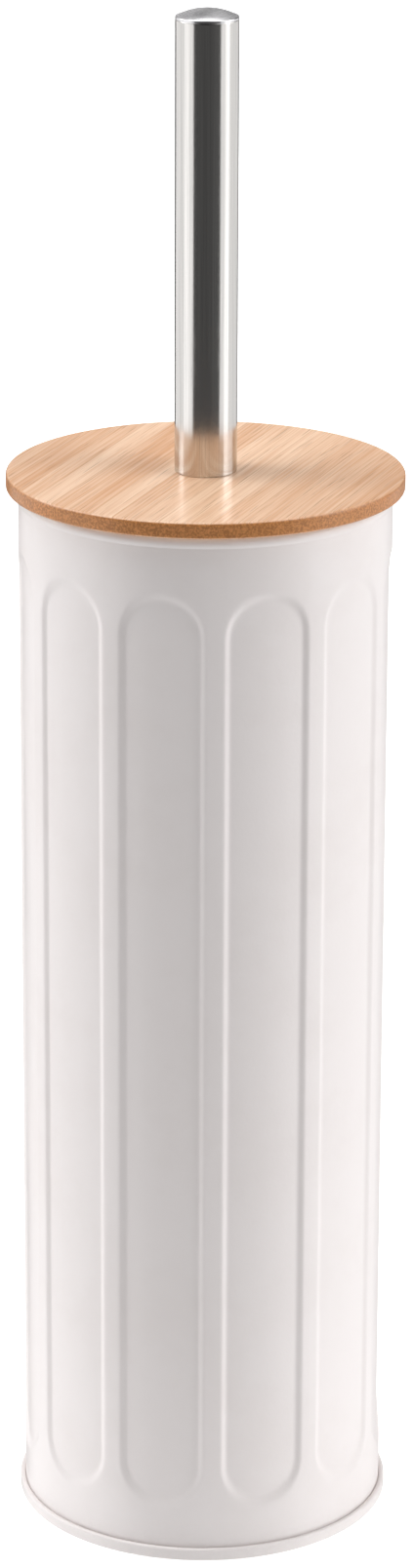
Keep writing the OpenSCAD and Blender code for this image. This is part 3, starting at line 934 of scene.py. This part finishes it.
def buildPlug():
    p = plug
    low = bottom("lid_plug")
    high = top("lid_plug")
    r = outerRadius("lid_plug")
    webZ = high - p["web"]
    corners = [(p["bore"], low, 0.3), (p["boss"], low, 0.5), (p["boss"], webZ, 0.6),
               (r - p["skirt"], webZ, 0.8), (r - p["skirt"], low, 0.5), (r, low, 0.7),
               (r, p["seatLow"], 0.1), (p["seatRadius"], p["seatLow"], 0.15),
               (p["seatRadius"], p["seatHigh"], 0.15), (r, p["seatHigh"], 0.1), (r, high, 0.25),
               (p["bore"], high, 0.25)]
    piece = lathe("lidPlug", roundedSection(corners, steps=4, keep=0.3), 180, whitePlastic)
    bm = bmesh.new()
    boxes = []
    for k in range(p["ribs"]):
        boxes.append(((p["boss"] - 0.8, -p["web"] / 2, low + p["web"]),
                      (r - p["skirt"] + 1, p["web"] / 2, webZ + 0.6),
                      2 * math.pi * k / p["ribs"]))
    boxesInto(bm, boxes)
    bmesh.ops.bevel(bm, geom=[e for e in bm.edges if abs(e.verts[0].co.z - e.verts[1].co.z) < 1e-7
                              and e.verts[0].co.z < (low + p["web"] + 0.1) * mm and e.calc_length() > 0.01],
                    offset=0.4 * mm, segments=3, affect="EDGES", profile=0.5)
    combine(piece, finishMesh("plugRibs", bm, whitePlastic), "UNION")
    combine(piece, pilotHoles(low, high + 1, lid["screwRadius"], "plugPilots"), "DIFFERENCE")
    return place(piece, "lid", "white_plastic", "lid_plug")


def buildGasket():
    p = plug
    r = outerRadius("lid_plug")
    lip = outerRadius("lid_gasket")
    tall = p["seatHigh"] - p["seatLow"]
    t = tall / 5
    corners = [(p["seatRadius"], p["seatLow"], 0.1), (r, p["seatLow"], 0.1), (r, p["seatLow"] + t, 0.12),
               (lip, p["seatLow"] + t, 0.35), (lip, p["seatLow"] + 2 * t, 0.35),
               (r, p["seatLow"] + 2 * t, 0.12), (r, p["seatHigh"] - 2 * t, 0.12),
               (lip, p["seatHigh"] - 2 * t, 0.35), (lip, p["seatHigh"] - t, 0.35),
               (r, p["seatHigh"] - t, 0.12), (r, p["seatHigh"], 0.1), (p["seatRadius"], p["seatHigh"], 0.1)]
    piece = lathe("gasketBand", roundedSection(corners, steps=4, keep=0.08), 180, silicone)
    return place(piece, "lid", "silicone", "lid_gasket")


screw = {
    "headRadius": 2.8,
    "headTall": 1.8,
    "recess": 1.0,
    "recessHalf": 0.38,
    "recessReach": 1.5,
    "recessTurn": 0.1,
    "threadPitch": 1.1,
}


def makeScrewCircle():
    tree, given, result = newTree(
        "screwCircle", "GeometryNodeTree",
        [("Geometry", "NodeSocketGeometry", None), ("Screws", "NodeSocketInt", 3),
         ("Circle Radius", "NodeSocketFloat", 0.024), ("First Angle", "NodeSocketFloat", 0.0),
         ("Finish", "NodeSocketMaterial", None)],
        [("Geometry", "NodeSocketGeometry")])
    points = addNode(tree, "GeometryNodePoints", {}, {"Count": given["Screws"]})
    index = tree.nodes.new("GeometryNodeInputIndex").outputs["Index"]
    step = calc(tree, "DIVIDE", 2 * math.pi, given["Screws"])
    angle = calc(tree, "MULTIPLY_ADD", index, step, given["First Angle"])
    where = addNode(tree, "ShaderNodeCombineXYZ", {},
                    {"X": calc(tree, "MULTIPLY", calc(tree, "COSINE", angle), given["Circle Radius"]),
                     "Y": calc(tree, "MULTIPLY", calc(tree, "SINE", angle), given["Circle Radius"])})
    link(tree, where.outputs["Vector"], points.inputs["Position"])
    # each screw stopped at its own angle when it was driven home
    spin = addNode(tree, "FunctionNodeRandomValue", {"data_type": "FLOAT"}, {"Seed": 4})
    spin.inputs[2].default_value = 0.0
    spin.inputs[3].default_value = 6.28
    turn = addNode(tree, "ShaderNodeCombineXYZ", {}, {"Z": spin.outputs[1]})
    placed = addNode(tree, "GeometryNodeInstanceOnPoints", {},
                     {"Points": points.outputs[0], "Instance": given["Geometry"],
                      "Rotation": turn.outputs["Vector"]})
    real = addNode(tree, "GeometryNodeRealizeInstances", {}, {"Geometry": placed.outputs["Instances"]})
    dressed = addNode(tree, "GeometryNodeSetMaterial", {},
                      {"Geometry": real.outputs["Geometry"], "Material": given["Finish"]})
    link(tree, dressed.outputs["Geometry"], result["Geometry"])
    return tree


def buildScrews():
    s = screw
    low = bottom("lid_screws")
    high = top("lid_screws")
    shank = lid["screwRadius"]
    headZ = low + s["headTall"]
    section = [np.array((0.0, low))]
    section += arcPoints((s["headRadius"] - 1.3, low + 1.1), 1.1, -90, -8, 7)
    section += [np.array((s["headRadius"], headZ - 0.25)), np.array((s["headRadius"], headZ)),
                np.array((shank, headZ))]
    z = headZ + 0.3
    while z < high - s["threadPitch"] - 0.2:
        section += [np.array((shank, z)), np.array((shank - 0.3, z + s["threadPitch"] * 0.4)),
                    np.array((shank - 0.3, z + s["threadPitch"] * 0.7))]
        z += s["threadPitch"]
    section += [np.array((shank, z)), np.array((0.6, high - 0.05)), np.array((0.0, high))]
    piece = lathe("lidScrews", section, 28, zincSteel, closed=False)
    half = s["recessHalf"]
    reach = s["recessReach"]
    # the bars of the cross are cut one after the other, as a tool that crosses itself empties the mesh
    for name, angle in (("firstBar", s["recessTurn"]), ("secondBar", s["recessTurn"] + math.pi / 2)):
        bm = bmesh.new()
        boxesInto(bm, [((-reach, -half, low - 1), (reach, half, low + s["recess"]), angle)])
        combine(piece, finishMesh(name, bm, zincSteel), "DIFFERENCE")
    print("screw faces:", len(piece.data.polygons))
    addNodesModifier(piece, makeScrewCircle(), {
        "Screws": lid["screws"],
        "Circle Radius": lid["screwRing"] * mm,
        "First Angle": math.radians(lid["screwTurn"]),
        "Finish": zincSteel,
    })
    bakeModifiers(piece)
    return place(piece, "lid", "zinc_steel", "lid_screws")


buildLidDisc()
buildPlug()
buildGasket()
buildScrews()
print("lid built")


# ---- handle and stem -------------------------------------------------------------------

handle = {
    "wall": 0.8,
    "brim": 0.6,
    "capEdge": 0.3,
    "sleeveWall": 0.8,
}


def buildHandleTube():
    h = handle
    r = outerRadius("handle_tube")
    section = tubeSection(r - h["wall"], r, bottom("handle_tube"), top("handle_tube"), 0.12)
    piece = lathe("handleTube", section, 128, brushedTube)
    return place(piece, "handle", "brushed_tube", "handle_tube")


def buildHandleCap():
    h = handle
    r = outerRadius("handle_cap")
    sleeveR = outerRadius("handle_tube") - h["wall"]
    low = bottom("handle_cap")
    seat = top("handle_tube")
    apex = top("handle_cap")
    brimZ = seat + h["brim"]
    rise = apex - brimZ
    domeR = (r * r + rise * rise) / (2 * rise)
    centreZ = apex - domeR
    rimR = r - h["capEdge"]
    startDeg = math.degrees(math.asin(rimR / domeR))
    dome = [np.array((domeR * math.sin(a), centreZ + domeR * math.cos(a)))
            for a in np.radians(np.linspace(startDeg, 0, 18))]
    dome[-1][0] = 0.0
    innerR = sleeveR - h["sleeveWall"]
    section = [np.array(p, float) for p in
               [(0, seat - 0.2), (innerR, seat - 0.2), (innerR, low), (sleeveR - 0.3, low),
                (sleeveR, low + 0.4), (sleeveR, seat), (r - 0.08, seat), (r, seat + 0.08), (r, brimZ - 0.1)]]
    section += arcPoints((r - h["capEdge"], brimZ - 0.1), h["capEdge"], 15, 70, 4)
    section = section + dome
    piece = lathe("handleCap", section, 128, polishedCap, closed=False)
    return place(piece, "handle", "polished_cap", "handle_cap")


def buildPlainRing(name, node, inner, edge, material, slotName, steps=72):
    section = tubeSection(inner, outerRadius(node), bottom(node), top(node), edge)
    return place(lathe(name, section, steps, material), "handle", slotName, node)


stud = {
    "pitch": 1.25,
    "depth": 0.6,
    "around": 28,
    "rowStep": 0.17,
}


def buildStud(name, node):
    s = stud
    r = outerRadius(node)
    low = bottom(node)
    high = top(node)
    rows = int((high - low) / s["rowStep"])
    bm = bmesh.new()
    rings = []
    for i in range(rows + 1):
        z = low + (high - low) * i / rows
        taper = min(z - low, high - z)
        ring = []
        for k in range(s["around"]):
            a = 2 * math.pi * k / s["around"]
            phase = (z / s["pitch"] - k / s["around"]) % 1
            cut = max(0.0, min(1.0, abs(phase - 0.5) * 2.6 - 0.3)) * s["depth"]
            radius = r - max(cut, s["depth"] - taper if taper < s["depth"] else 0.0)
            ring.append(bm.verts.new((radius * mm * math.sin(a), -radius * mm * math.cos(a), z * mm)))
        rings.append(ring)
    for lower, upper in zip(rings, rings[1:]):
        for k in range(s["around"]):
            after = (k + 1) % s["around"]
            bm.faces.new([lower[k], lower[after], upper[after], upper[k]])
    bm.faces.new(rings[0])
    bm.faces.new(rings[-1])
    return place(finishMesh(name, bm, zincSteel, 50), "handle", "zinc_steel", node)


def buildLockWasher():
    node = "lock_washer"
    inner = outerRadius("upper_stud") + 0.3
    outer = outerRadius(node)
    low = bottom(node)
    high = top(node)
    thick = (high - low) * 0.82
    spread = (high - low) - thick
    startDeg = 20 + 12
    steps = 60
    bm = bmesh.new()
    loops = []
    corners = roundedSection([(inner, 0, 0.15), (outer, 0, 0.2), (outer, thick, 0.2), (inner, thick, 0.15)],
                             steps=3, keep=0.2)
    for k in range(steps + 1):
        a = math.radians(startDeg + (360 - 9) * k / steps)
        lift = low + spread * k / steps
        loops.append([bm.verts.new((r * mm * math.cos(a), r * mm * math.sin(a), (z + lift) * mm))
                      for r, z in corners])
    count = len(corners)
    for here, after in zip(loops, loops[1:]):
        for i in range(count):
            j = (i + 1) % count
            bm.faces.new([here[i], here[j], after[j], after[i]])
    bm.faces.new(loops[0])
    bm.faces.new(loops[-1])
    return place(finishMesh("splitWasher", bm, zincSteel), "handle", "zinc_steel", node)


buildHandleTube()
buildHandleCap()
buildPlainRing("threadedBush", "handle_bush", outerRadius("upper_stud") + 0.05, 0.3, zincSteel, "zinc_steel")
buildPlainRing("spacerSleeve", "spacer_sleeve", outerRadius("upper_stud") + 0.3, 0.2, zincSteel, "zinc_steel")
studR = outerRadius("upper_stud")
buildPlainRing("retainingWasher", "retaining_washer", studR + 0.3, 0.35, zincSteel, "zinc_steel", 96)
buildPlainRing("stemTube", "stem_tube", studR + 0.05, 0.15, brushedTube, "brushed_tube", 96)
buildStud("upperStud", "upper_stud")
buildStud("lowerStud", "lower_stud")
buildLockWasher()
print("handle and stem built")


# ---- brush head ------------------------------------------------------------------------

head = {
    "socketRadius": 5.3,
    "socketDeep": 5.1,
    "sealSeat": 7.4,
    "sealDeep": 1.9,
    "rings": 7,
    "perRing": 12,
    "firstRing": 4.5,
    "ringPitch": 6.8,
    "noseRows": ((0, 1), (26, 6), (51, 10), (76, 12)),
    "tipRadius": 37.2,
    "holeRadius": 1.55,
    "tuftTip": 2.75,
    "strands": 40,
    "strandRadius": 0.17,
    "strandSteps": 5,
    "crimp": 0.16,
    "uneven": 1.2,
    "rootSunk": 1.6,
}


def buildCore():
    h = head
    r = outerRadius("brush_core")
    low = bottom("brush_core")
    high = top("brush_core")
    nose = low + r
    socketZ = high - h["socketDeep"]
    holeR = outerRadius("lower_stud") + 0.3
    section = [np.array((r * math.sin(a), nose - r * math.cos(a))) for a in np.radians(np.linspace(0, 90, 24))]
    section[0][0] = 0.0
    upper = roundedSection([(r, nose, 0), (r, high, 0.9), (h["sealSeat"], high, 0.2),
                            (h["sealSeat"], high - h["sealDeep"], 0.2),
                            (h["socketRadius"], high - h["sealDeep"], 0.1),
                            (h["socketRadius"], socketZ, 0.2), (holeR, socketZ, 0), (holeR, socketZ - 13, 0),
                            (0, socketZ - 13, 0)], closed=False, steps=5, keep=0.3)
    piece = lathe("brushCore", [*section, *upper[1:]], 96, whitePlastic, closed=False)
    return place(piece, "head", "white_plastic", "brush_core")


def makeTufts():
    tree, given, result = newTree(
        "tuftsOfStrands", "GeometryNodeTree",
        [("Geometry", "NodeSocketGeometry", None), ("Strands", "NodeSocketInt", 40),
         ("Hole Radius", "NodeSocketFloat", 0.0015), ("Tip Spread", "NodeSocketFloat", 1.8),
         ("Strand Length", "NodeSocketFloat", 0.025), ("Strand Radius", "NodeSocketFloat", 0.0002),
         ("Uneven", "NodeSocketFloat", 0.001), ("Crimp", "NodeSocketFloat", 0.0001),
         ("Steps", "NodeSocketInt", 5), ("Seed", "NodeSocketInt", 11), ("Finish", "NodeSocketMaterial", None)],
        [("Geometry", "NodeSocketGeometry")])

    def do(operation, *values):
        return calc(tree, operation, *values)

    def chance(low, high, offset):
        node = addNode(tree, "FunctionNodeRandomValue", {"data_type": "FLOAT"}, {})
        link(tree, low, node.inputs[2])
        link(tree, high, node.inputs[3])
        link(tree, do("ADD", given["Seed"], offset), node.inputs["Seed"])
        return node.outputs[1]

    points = addNode(tree, "GeometryNodeMeshToPoints", {}, {"Mesh": given["Geometry"]})
    copies = addNode(tree, "GeometryNodeDuplicateElements", {"domain": "POINT"},
                     {"Geometry": points.outputs["Points"], "Amount": given["Strands"]})
    number = do("ADD", copies.outputs["Duplicate Index"], 0.5)
    ring = do("SQRT", do("DIVIDE", number, given["Strands"]))  # strands pack evenly over the hole
    spiral = do("MULTIPLY", number, 2.39996)
    sideX = do("MULTIPLY", ring, do("COSINE", spiral))
    sideY = do("MULTIPLY", ring, do("SINE", spiral))
    axis = addNode(tree, "GeometryNodeInputNamedAttribute", {"data_type": "FLOAT_VECTOR"},
                   {"Name": "tuftAxis"})
    facing = addNode(tree, "FunctionNodeAlignRotationToVector", {"axis": "Z"},
                     {"Vector": axis.outputs["Attribute"]})
    rootLocal = addNode(tree, "ShaderNodeCombineXYZ", {},
                        {"X": do("MULTIPLY", sideX, given["Hole Radius"]),
                          "Y": do("MULTIPLY", sideY, given["Hole Radius"])})
    rootShift = addNode(tree, "FunctionNodeRotateVector", {},
                        {"Vector": rootLocal.outputs["Vector"], "Rotation": facing.outputs["Rotation"]})
    spot = addNode(tree, "GeometryNodeSetPosition", {},
                   {"Geometry": copies.outputs["Geometry"], "Offset": rootShift.outputs["Vector"]})
    # a strand leans outwards in step with its place in the tuft
    spread = do("DIVIDE", do("MULTIPLY", given["Hole Radius"], do("SUBTRACT", given["Tip Spread"], 1.0)),
                given["Strand Length"])
    leanX = do("ADD", do("MULTIPLY", sideX, spread), chance(-0.02, 0.02, 1))
    leanY = do("ADD", do("MULTIPLY", sideY, spread), chance(-0.02, 0.02, 2))
    lean = addNode(tree, "ShaderNodeCombineXYZ", {}, {"X": leanX, "Y": leanY, "Z": 1.0})
    direction = addNode(tree, "FunctionNodeRotateVector", {},
                        {"Vector": lean.outputs["Vector"], "Rotation": facing.outputs["Rotation"]})
    along = addNode(tree, "FunctionNodeAlignRotationToVector", {"axis": "Z"},
                    {"Vector": direction.outputs["Vector"]})
    spin = addNode(tree, "ShaderNodeCombineXYZ", {}, {"Z": chance(0.0, 6.28, 3)})
    spinning = addNode(tree, "FunctionNodeEulerToRotation", {}, {"Euler": spin.outputs["Vector"]})
    final = addNode(tree, "FunctionNodeRotateRotation", {"rotation_space": "LOCAL"},
                    {"Rotation": along.outputs["Rotation"], "Rotate By": spinning.outputs["Rotation"]})
    longer = do("ADD", given["Strand Length"], chance(do("MULTIPLY", given["Uneven"], -1.0), 0.0, 4))
    size = addNode(tree, "ShaderNodeCombineXYZ", {}, {"X": 1.0, "Y": 1.0, "Z": longer})
    # one strand: a three-sided rod of unit length with a crimp
    rod = addNode(tree, "GeometryNodeMeshCylinder", {"fill_type": "TRIANGLE_FAN"},
                  {"Vertices": 3, "Side Segments": given["Steps"],
                   "Radius": given["Strand Radius"], "Depth": 1.0})
    place3 = tree.nodes.new("GeometryNodeInputPosition").outputs["Position"]
    rodPart = addNode(tree, "ShaderNodeSeparateXYZ", {}, {"Vector": place3})
    share = do("ADD", rodPart.outputs["Z"], 0.5)
    wave = do("MULTIPLY", do("MULTIPLY", do("SINE", do("MULTIPLY", share, 9.2)), given["Crimp"]), share)
    crimped = addNode(tree, "ShaderNodeCombineXYZ", {}, {"X": wave, "Z": 0.5})
    bent = addNode(tree, "GeometryNodeSetPosition", {},
                   {"Geometry": rod.outputs["Mesh"], "Offset": crimped.outputs["Vector"]})
    store = addNode(tree, "GeometryNodeStoreNamedAttribute", {"data_type": "FLOAT", "domain": "POINT"},
                    {"Geometry": bent.outputs["Geometry"], "Name": "along"})
    link(tree, share, store.inputs["Value"])
    placed = addNode(tree, "GeometryNodeInstanceOnPoints", {},
                     {"Points": spot.outputs["Geometry"], "Instance": store.outputs["Geometry"],
                      "Rotation": final.outputs["Rotation"], "Scale": size.outputs["Vector"]})
    tone = addNode(tree, "GeometryNodeStoreNamedAttribute", {"data_type": "FLOAT", "domain": "INSTANCE"},
                   {"Geometry": placed.outputs["Instances"], "Name": "strand"})
    link(tree, chance(0.0, 1.0, 5), tone.inputs["Value"])
    real = addNode(tree, "GeometryNodeRealizeInstances", {}, {"Geometry": tone.outputs["Geometry"]})
    smooth = addNode(tree, "GeometryNodeSetShadeSmooth", {}, {"Geometry": real.outputs["Geometry"]})
    dressed = addNode(tree, "GeometryNodeSetMaterial", {},
                      {"Geometry": smooth.outputs["Geometry"], "Material": given["Finish"]})
    link(tree, dressed.outputs["Geometry"], result["Geometry"])
    return tree


tuftTree = makeTufts()


def buildTufts(name, node, roots, seed):
    h = head
    coreR = outerRadius("brush_core")
    sink = coreR - h["rootSunk"]
    piece = pointsObject(name, [(Vector(c) + Vector(d) * sink) * mm for c, d in roots],
                         [("tuftAxis", [d for c, d in roots])])
    addNodesModifier(piece, tuftTree, {
        "Strands": h["strands"],
        "Hole Radius": (h["holeRadius"] - 0.12) * mm,
        "Tip Spread": h["tuftTip"] / h["holeRadius"],
        "Strand Length": (h["tipRadius"] - sink - 0.2) * mm,
        "Strand Radius": h["strandRadius"] * mm,
        "Uneven": h["uneven"] * mm,
        "Crimp": h["crimp"] * mm,
        "Steps": h["strandSteps"],
        "Seed": seed,
        "Finish": whiteNylon,
    })
    bpy.context.view_layer.update()
    depsgraph = bpy.context.evaluated_depsgraph_get()
    mesh = bpy.data.meshes.new_from_object(piece.evaluated_get(depsgraph), depsgraph=depsgraph)
    piece.modifiers.clear()
    piece.data = mesh
    mesh.name = name
    mesh.calc_loop_triangles()
    print(name, "triangles:", len(mesh.loop_triangles))
    return place(piece, "head", "white_nylon", node)


def buildBristles():
    h = head
    coreR = outerRadius("brush_core")
    nose = bottom("brush_core") + coreR
    side = []
    for i in range(h["rings"]):
        for k in range(h["perRing"]):
            a = 2 * math.pi * (k + i % 2 / 2) / h["perRing"]
            side.append(((0, 0, nose + h["firstRing"] + i * h["ringPitch"]), (math.cos(a), math.sin(a), 0)))
    front = []
    for tilt, count in h["noseRows"]:
        for k in range(count):
            a = 2 * math.pi * k / count
            t = math.radians(tilt)
            out = (-math.sin(t) * math.sin(a), math.sin(t) * math.cos(a), -math.cos(t))
            front.append(((0, 0, nose), (-out[0], -out[1], out[2])))
    buildTufts("sideBristles", "side_bristles", side, 11)
    buildTufts("noseBristles", "nose_bristles", front, 23)


def buildSeal():
    r = (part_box("head_oring")[1].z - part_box("head_oring")[0].z) / 2 / mm
    centre = (outerRadius("head_oring") - r, bottom("head_oring") + r)
    piece = lathe("sealRing", arcPoints(centre, r, 0, 340, 18), 72, blackRubber)
    return place(piece, "head_seal", "black_rubber", "head_oring")


buildCore()
buildSeal()
buildBristles()
for node, material in (("core_insert", brass), ("tuft_anchors", zincSteel)):
    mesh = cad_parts[node].data
    mesh.materials.clear()
    mesh.materials.append(material)
print("brush head built")


# ---- floor, light and camera -----------------------------------------------------------

studio = {
    "floorSize": 8.0,
    "floorTone": (0.82, 0.82, 0.82, 1.0),
    "floorGlow": 0.55,
    "floorBounce": (0.3, 0.3, 0.3, 1.0),
    # floorFill, the outer pool's glow, the three rows of walls and topPower were solved for by a separate
    # fitting program; the inner pool's glow was raised by hand from that program's value
    "floorFill": 0.575,
    "pools": ((0.25, 0.11), (0.6, 0.176)),
    # brightness round the object, from behind its left side, by way of the camera, to behind its right side
    "sectors": (-180, -150, -115, -90, -70, -50, -20, 20, 50, 70, 90, 115, 150),
    "lowWalls": (0.0, 1.348, 1.25, 1.761, 1.487, 0.107, 0.101, 0.127, 1.334, 2.032, 1.23, 1.153, 0.347),
    "midWalls": (0.54, 0.465, 4.623, 0.535, 0.0, 0.0, 0.0, 0.0, 0.313, 5.888, 3.299, 0.0, 0.429),
    "highWalls": (0.321, 1.63, 5.091, 4.347, 1.393, 0.0, 0.0, 0.509, 3.7, 3.154, 0.0, 0.0, 0.615),
    "brightest": 8.0,
    "horizonBlend": 0.015,
    "wallStrength": 0.8,
    "topPower": 3.273,
    "topSize": 0.7,
    "topHeight": 1.25,
}


def makeFloor():
    s = studio
    half = s["floorSize"] / 2
    mesh = bpy.data.meshes.new("floor")
    z = cadBounds[0].z
    corners = [(-half, -half, z), (half, -half, z), (half, half, z), (-half, half, z)]
    mesh.from_pydata(corners, [], [(0, 1, 2, 3)])
    material = bpy.data.materials.new("paleFloor")
    material.use_nodes = True
    tree = material.node_tree
    shader = tree.nodes["Principled BSDF"]
    shader.inputs["Roughness"].default_value = 0.9
    shader.inputs["Specular IOR Level"].default_value = 0.1
    # evenly bright to the camera; towards the object it has a steady glow, stronger close by
    seen = tree.nodes.new("ShaderNodeLightPath").outputs["Is Camera Ray"]
    link(tree, mixColour(tree, seen, s["floorBounce"], s["floorTone"]), shader.inputs["Base Color"])
    spot = tree.nodes.new("ShaderNodeTexCoord").outputs["Object"]
    away = addNode(tree, "ShaderNodeVectorMath", {"operation": "LENGTH"}, {"Vector": spot}).outputs["Value"]
    bounce = s["floorFill"]
    for radius, glow in s["pools"]:
        bounce = calc(tree, "ADD", ramp(tree, away, glow, 0.0, 0.05, radius, "SMOOTHSTEP"), bounce)
    strength = addNode(tree, "ShaderNodeMix", {"data_type": "FLOAT"}, {})
    link(tree, seen, strength.inputs[0])
    link(tree, bounce, strength.inputs[2])
    link(tree, s["floorGlow"], strength.inputs[3])
    glow = addNode(tree, "ShaderNodeEmission", {}, {"Color": (1, 1, 1, 1), "Strength": strength.outputs[0]})
    both = tree.nodes.new("ShaderNodeAddShader")
    tree.links.new(shader.outputs["BSDF"], both.inputs[0])
    tree.links.new(glow.outputs["Emission"], both.inputs[1])
    tree.links.new(both.outputs["Shader"], tree.nodes["Material Output"].inputs["Surface"])
    mesh.materials.append(material)
    floor = bpy.data.objects.new("floor", mesh)
    scene.collection.objects.link(floor)
    floor.visible_glossy = False


def makeWorld():
    s = studio
    world = bpy.data.worlds.new("studio")
    scene.world = world
    world.use_nodes = True
    tree = world.node_tree
    background = tree.nodes["Background"]
    direction = tree.nodes.new("ShaderNodeTexCoord").outputs["Generated"]
    part = addNode(tree, "ShaderNodeSeparateXYZ", {}, {"Vector": direction})
    # angle round the object, 0 towards the camera and growing to its right
    angle = calc(tree, "ARCTAN2", part.outputs["X"], calc(tree, "MULTIPLY", part.outputs["Y"], -1.0))
    share = ramp(tree, angle, 0.0, 1.0, -math.pi, math.pi)

    def walls(values):
        node = addNode(tree, "ShaderNodeValToRGB", {}, {"Fac": share})
        colours = node.color_ramp
        colours.interpolation = "CONSTANT"
        while len(colours.elements) < len(values):
            colours.elements.new(0.5)
        for element, start in zip(colours.elements, s["sectors"]):
            element.position = (start + 180) / 360
        for element, value in zip(colours.elements, values):
            level = value / s["brightest"]
            element.color = (level, level, level, 1)
        return node.outputs["Color"]

    up = part.outputs["Z"]
    soft = s["horizonBlend"]
    tone = mixColour(tree, ramp(tree, up, 0.0, 1.0, -soft, soft), walls(s["lowWalls"]), walls(s["midWalls"]))
    tone = mixColour(tree, ramp(tree, up, 0.0, 1.0, 0.5 - soft, 0.5 + soft), tone, walls(s["highWalls"]))
    tone = addNode(tree, "ShaderNodeVectorMath", {"operation": "SCALE"},
                   {"Vector": tone, "Scale": s["brightest"]}).outputs["Vector"]
    seen = tree.nodes.new("ShaderNodeLightPath").outputs["Is Camera Ray"]
    colour = mixColour(tree, seen, tone, (1.0, 1.0, 1.0, 1.0))
    link(tree, colour, background.inputs["Color"])
    background.inputs["Strength"].default_value = s["wallStrength"]


def areaLight(name, spot, target, size, power, tint=(1, 1, 1)):
    data = bpy.data.lights.new(name, "AREA")
    data.shape = "RECTANGLE"
    data.size, data.size_y = size
    data.energy = power
    data.color = tint
    lamp = bpy.data.objects.new(name, data)
    lamp.location = spot
    lamp.rotation_euler = (Vector(target) - Vector(spot)).to_track_quat("-Z", "Y").to_euler()
    scene.collection.objects.link(lamp)
    return lamp


view = {
    "spot": (0.0, -1.272, 0.6234),
    "pitch": -18.41,
    "lens": 117.9,
    "shift": 0.0009,
    "roll": 0.2,
}


def makeCamera():
    data = bpy.data.cameras.new("camera")
    data.lens = view["lens"]
    data.sensor_width = 36.0
    data.shift_x = view["shift"]
    camera = bpy.data.objects.new("camera", data)
    camera.location = view["spot"]
    tilt = Matrix.Rotation(math.radians(90 + view["pitch"]), 3, "X")
    roll = Matrix.Rotation(math.radians(view["roll"]), 3, "Z")
    camera.rotation_euler = (tilt @ roll).to_euler()
    scene.collection.objects.link(camera)
    scene.camera = camera


makeFloor()
makeWorld()
topSize = (studio["topSize"], studio["topSize"])
areaLight("topSoftbox", (0.0, 0.15, studio["topHeight"]), (0, 0, 0.28), topSize, studio["topPower"])
makeCamera()
scene.view_settings.view_transform = "Standard"
print("studio ready")
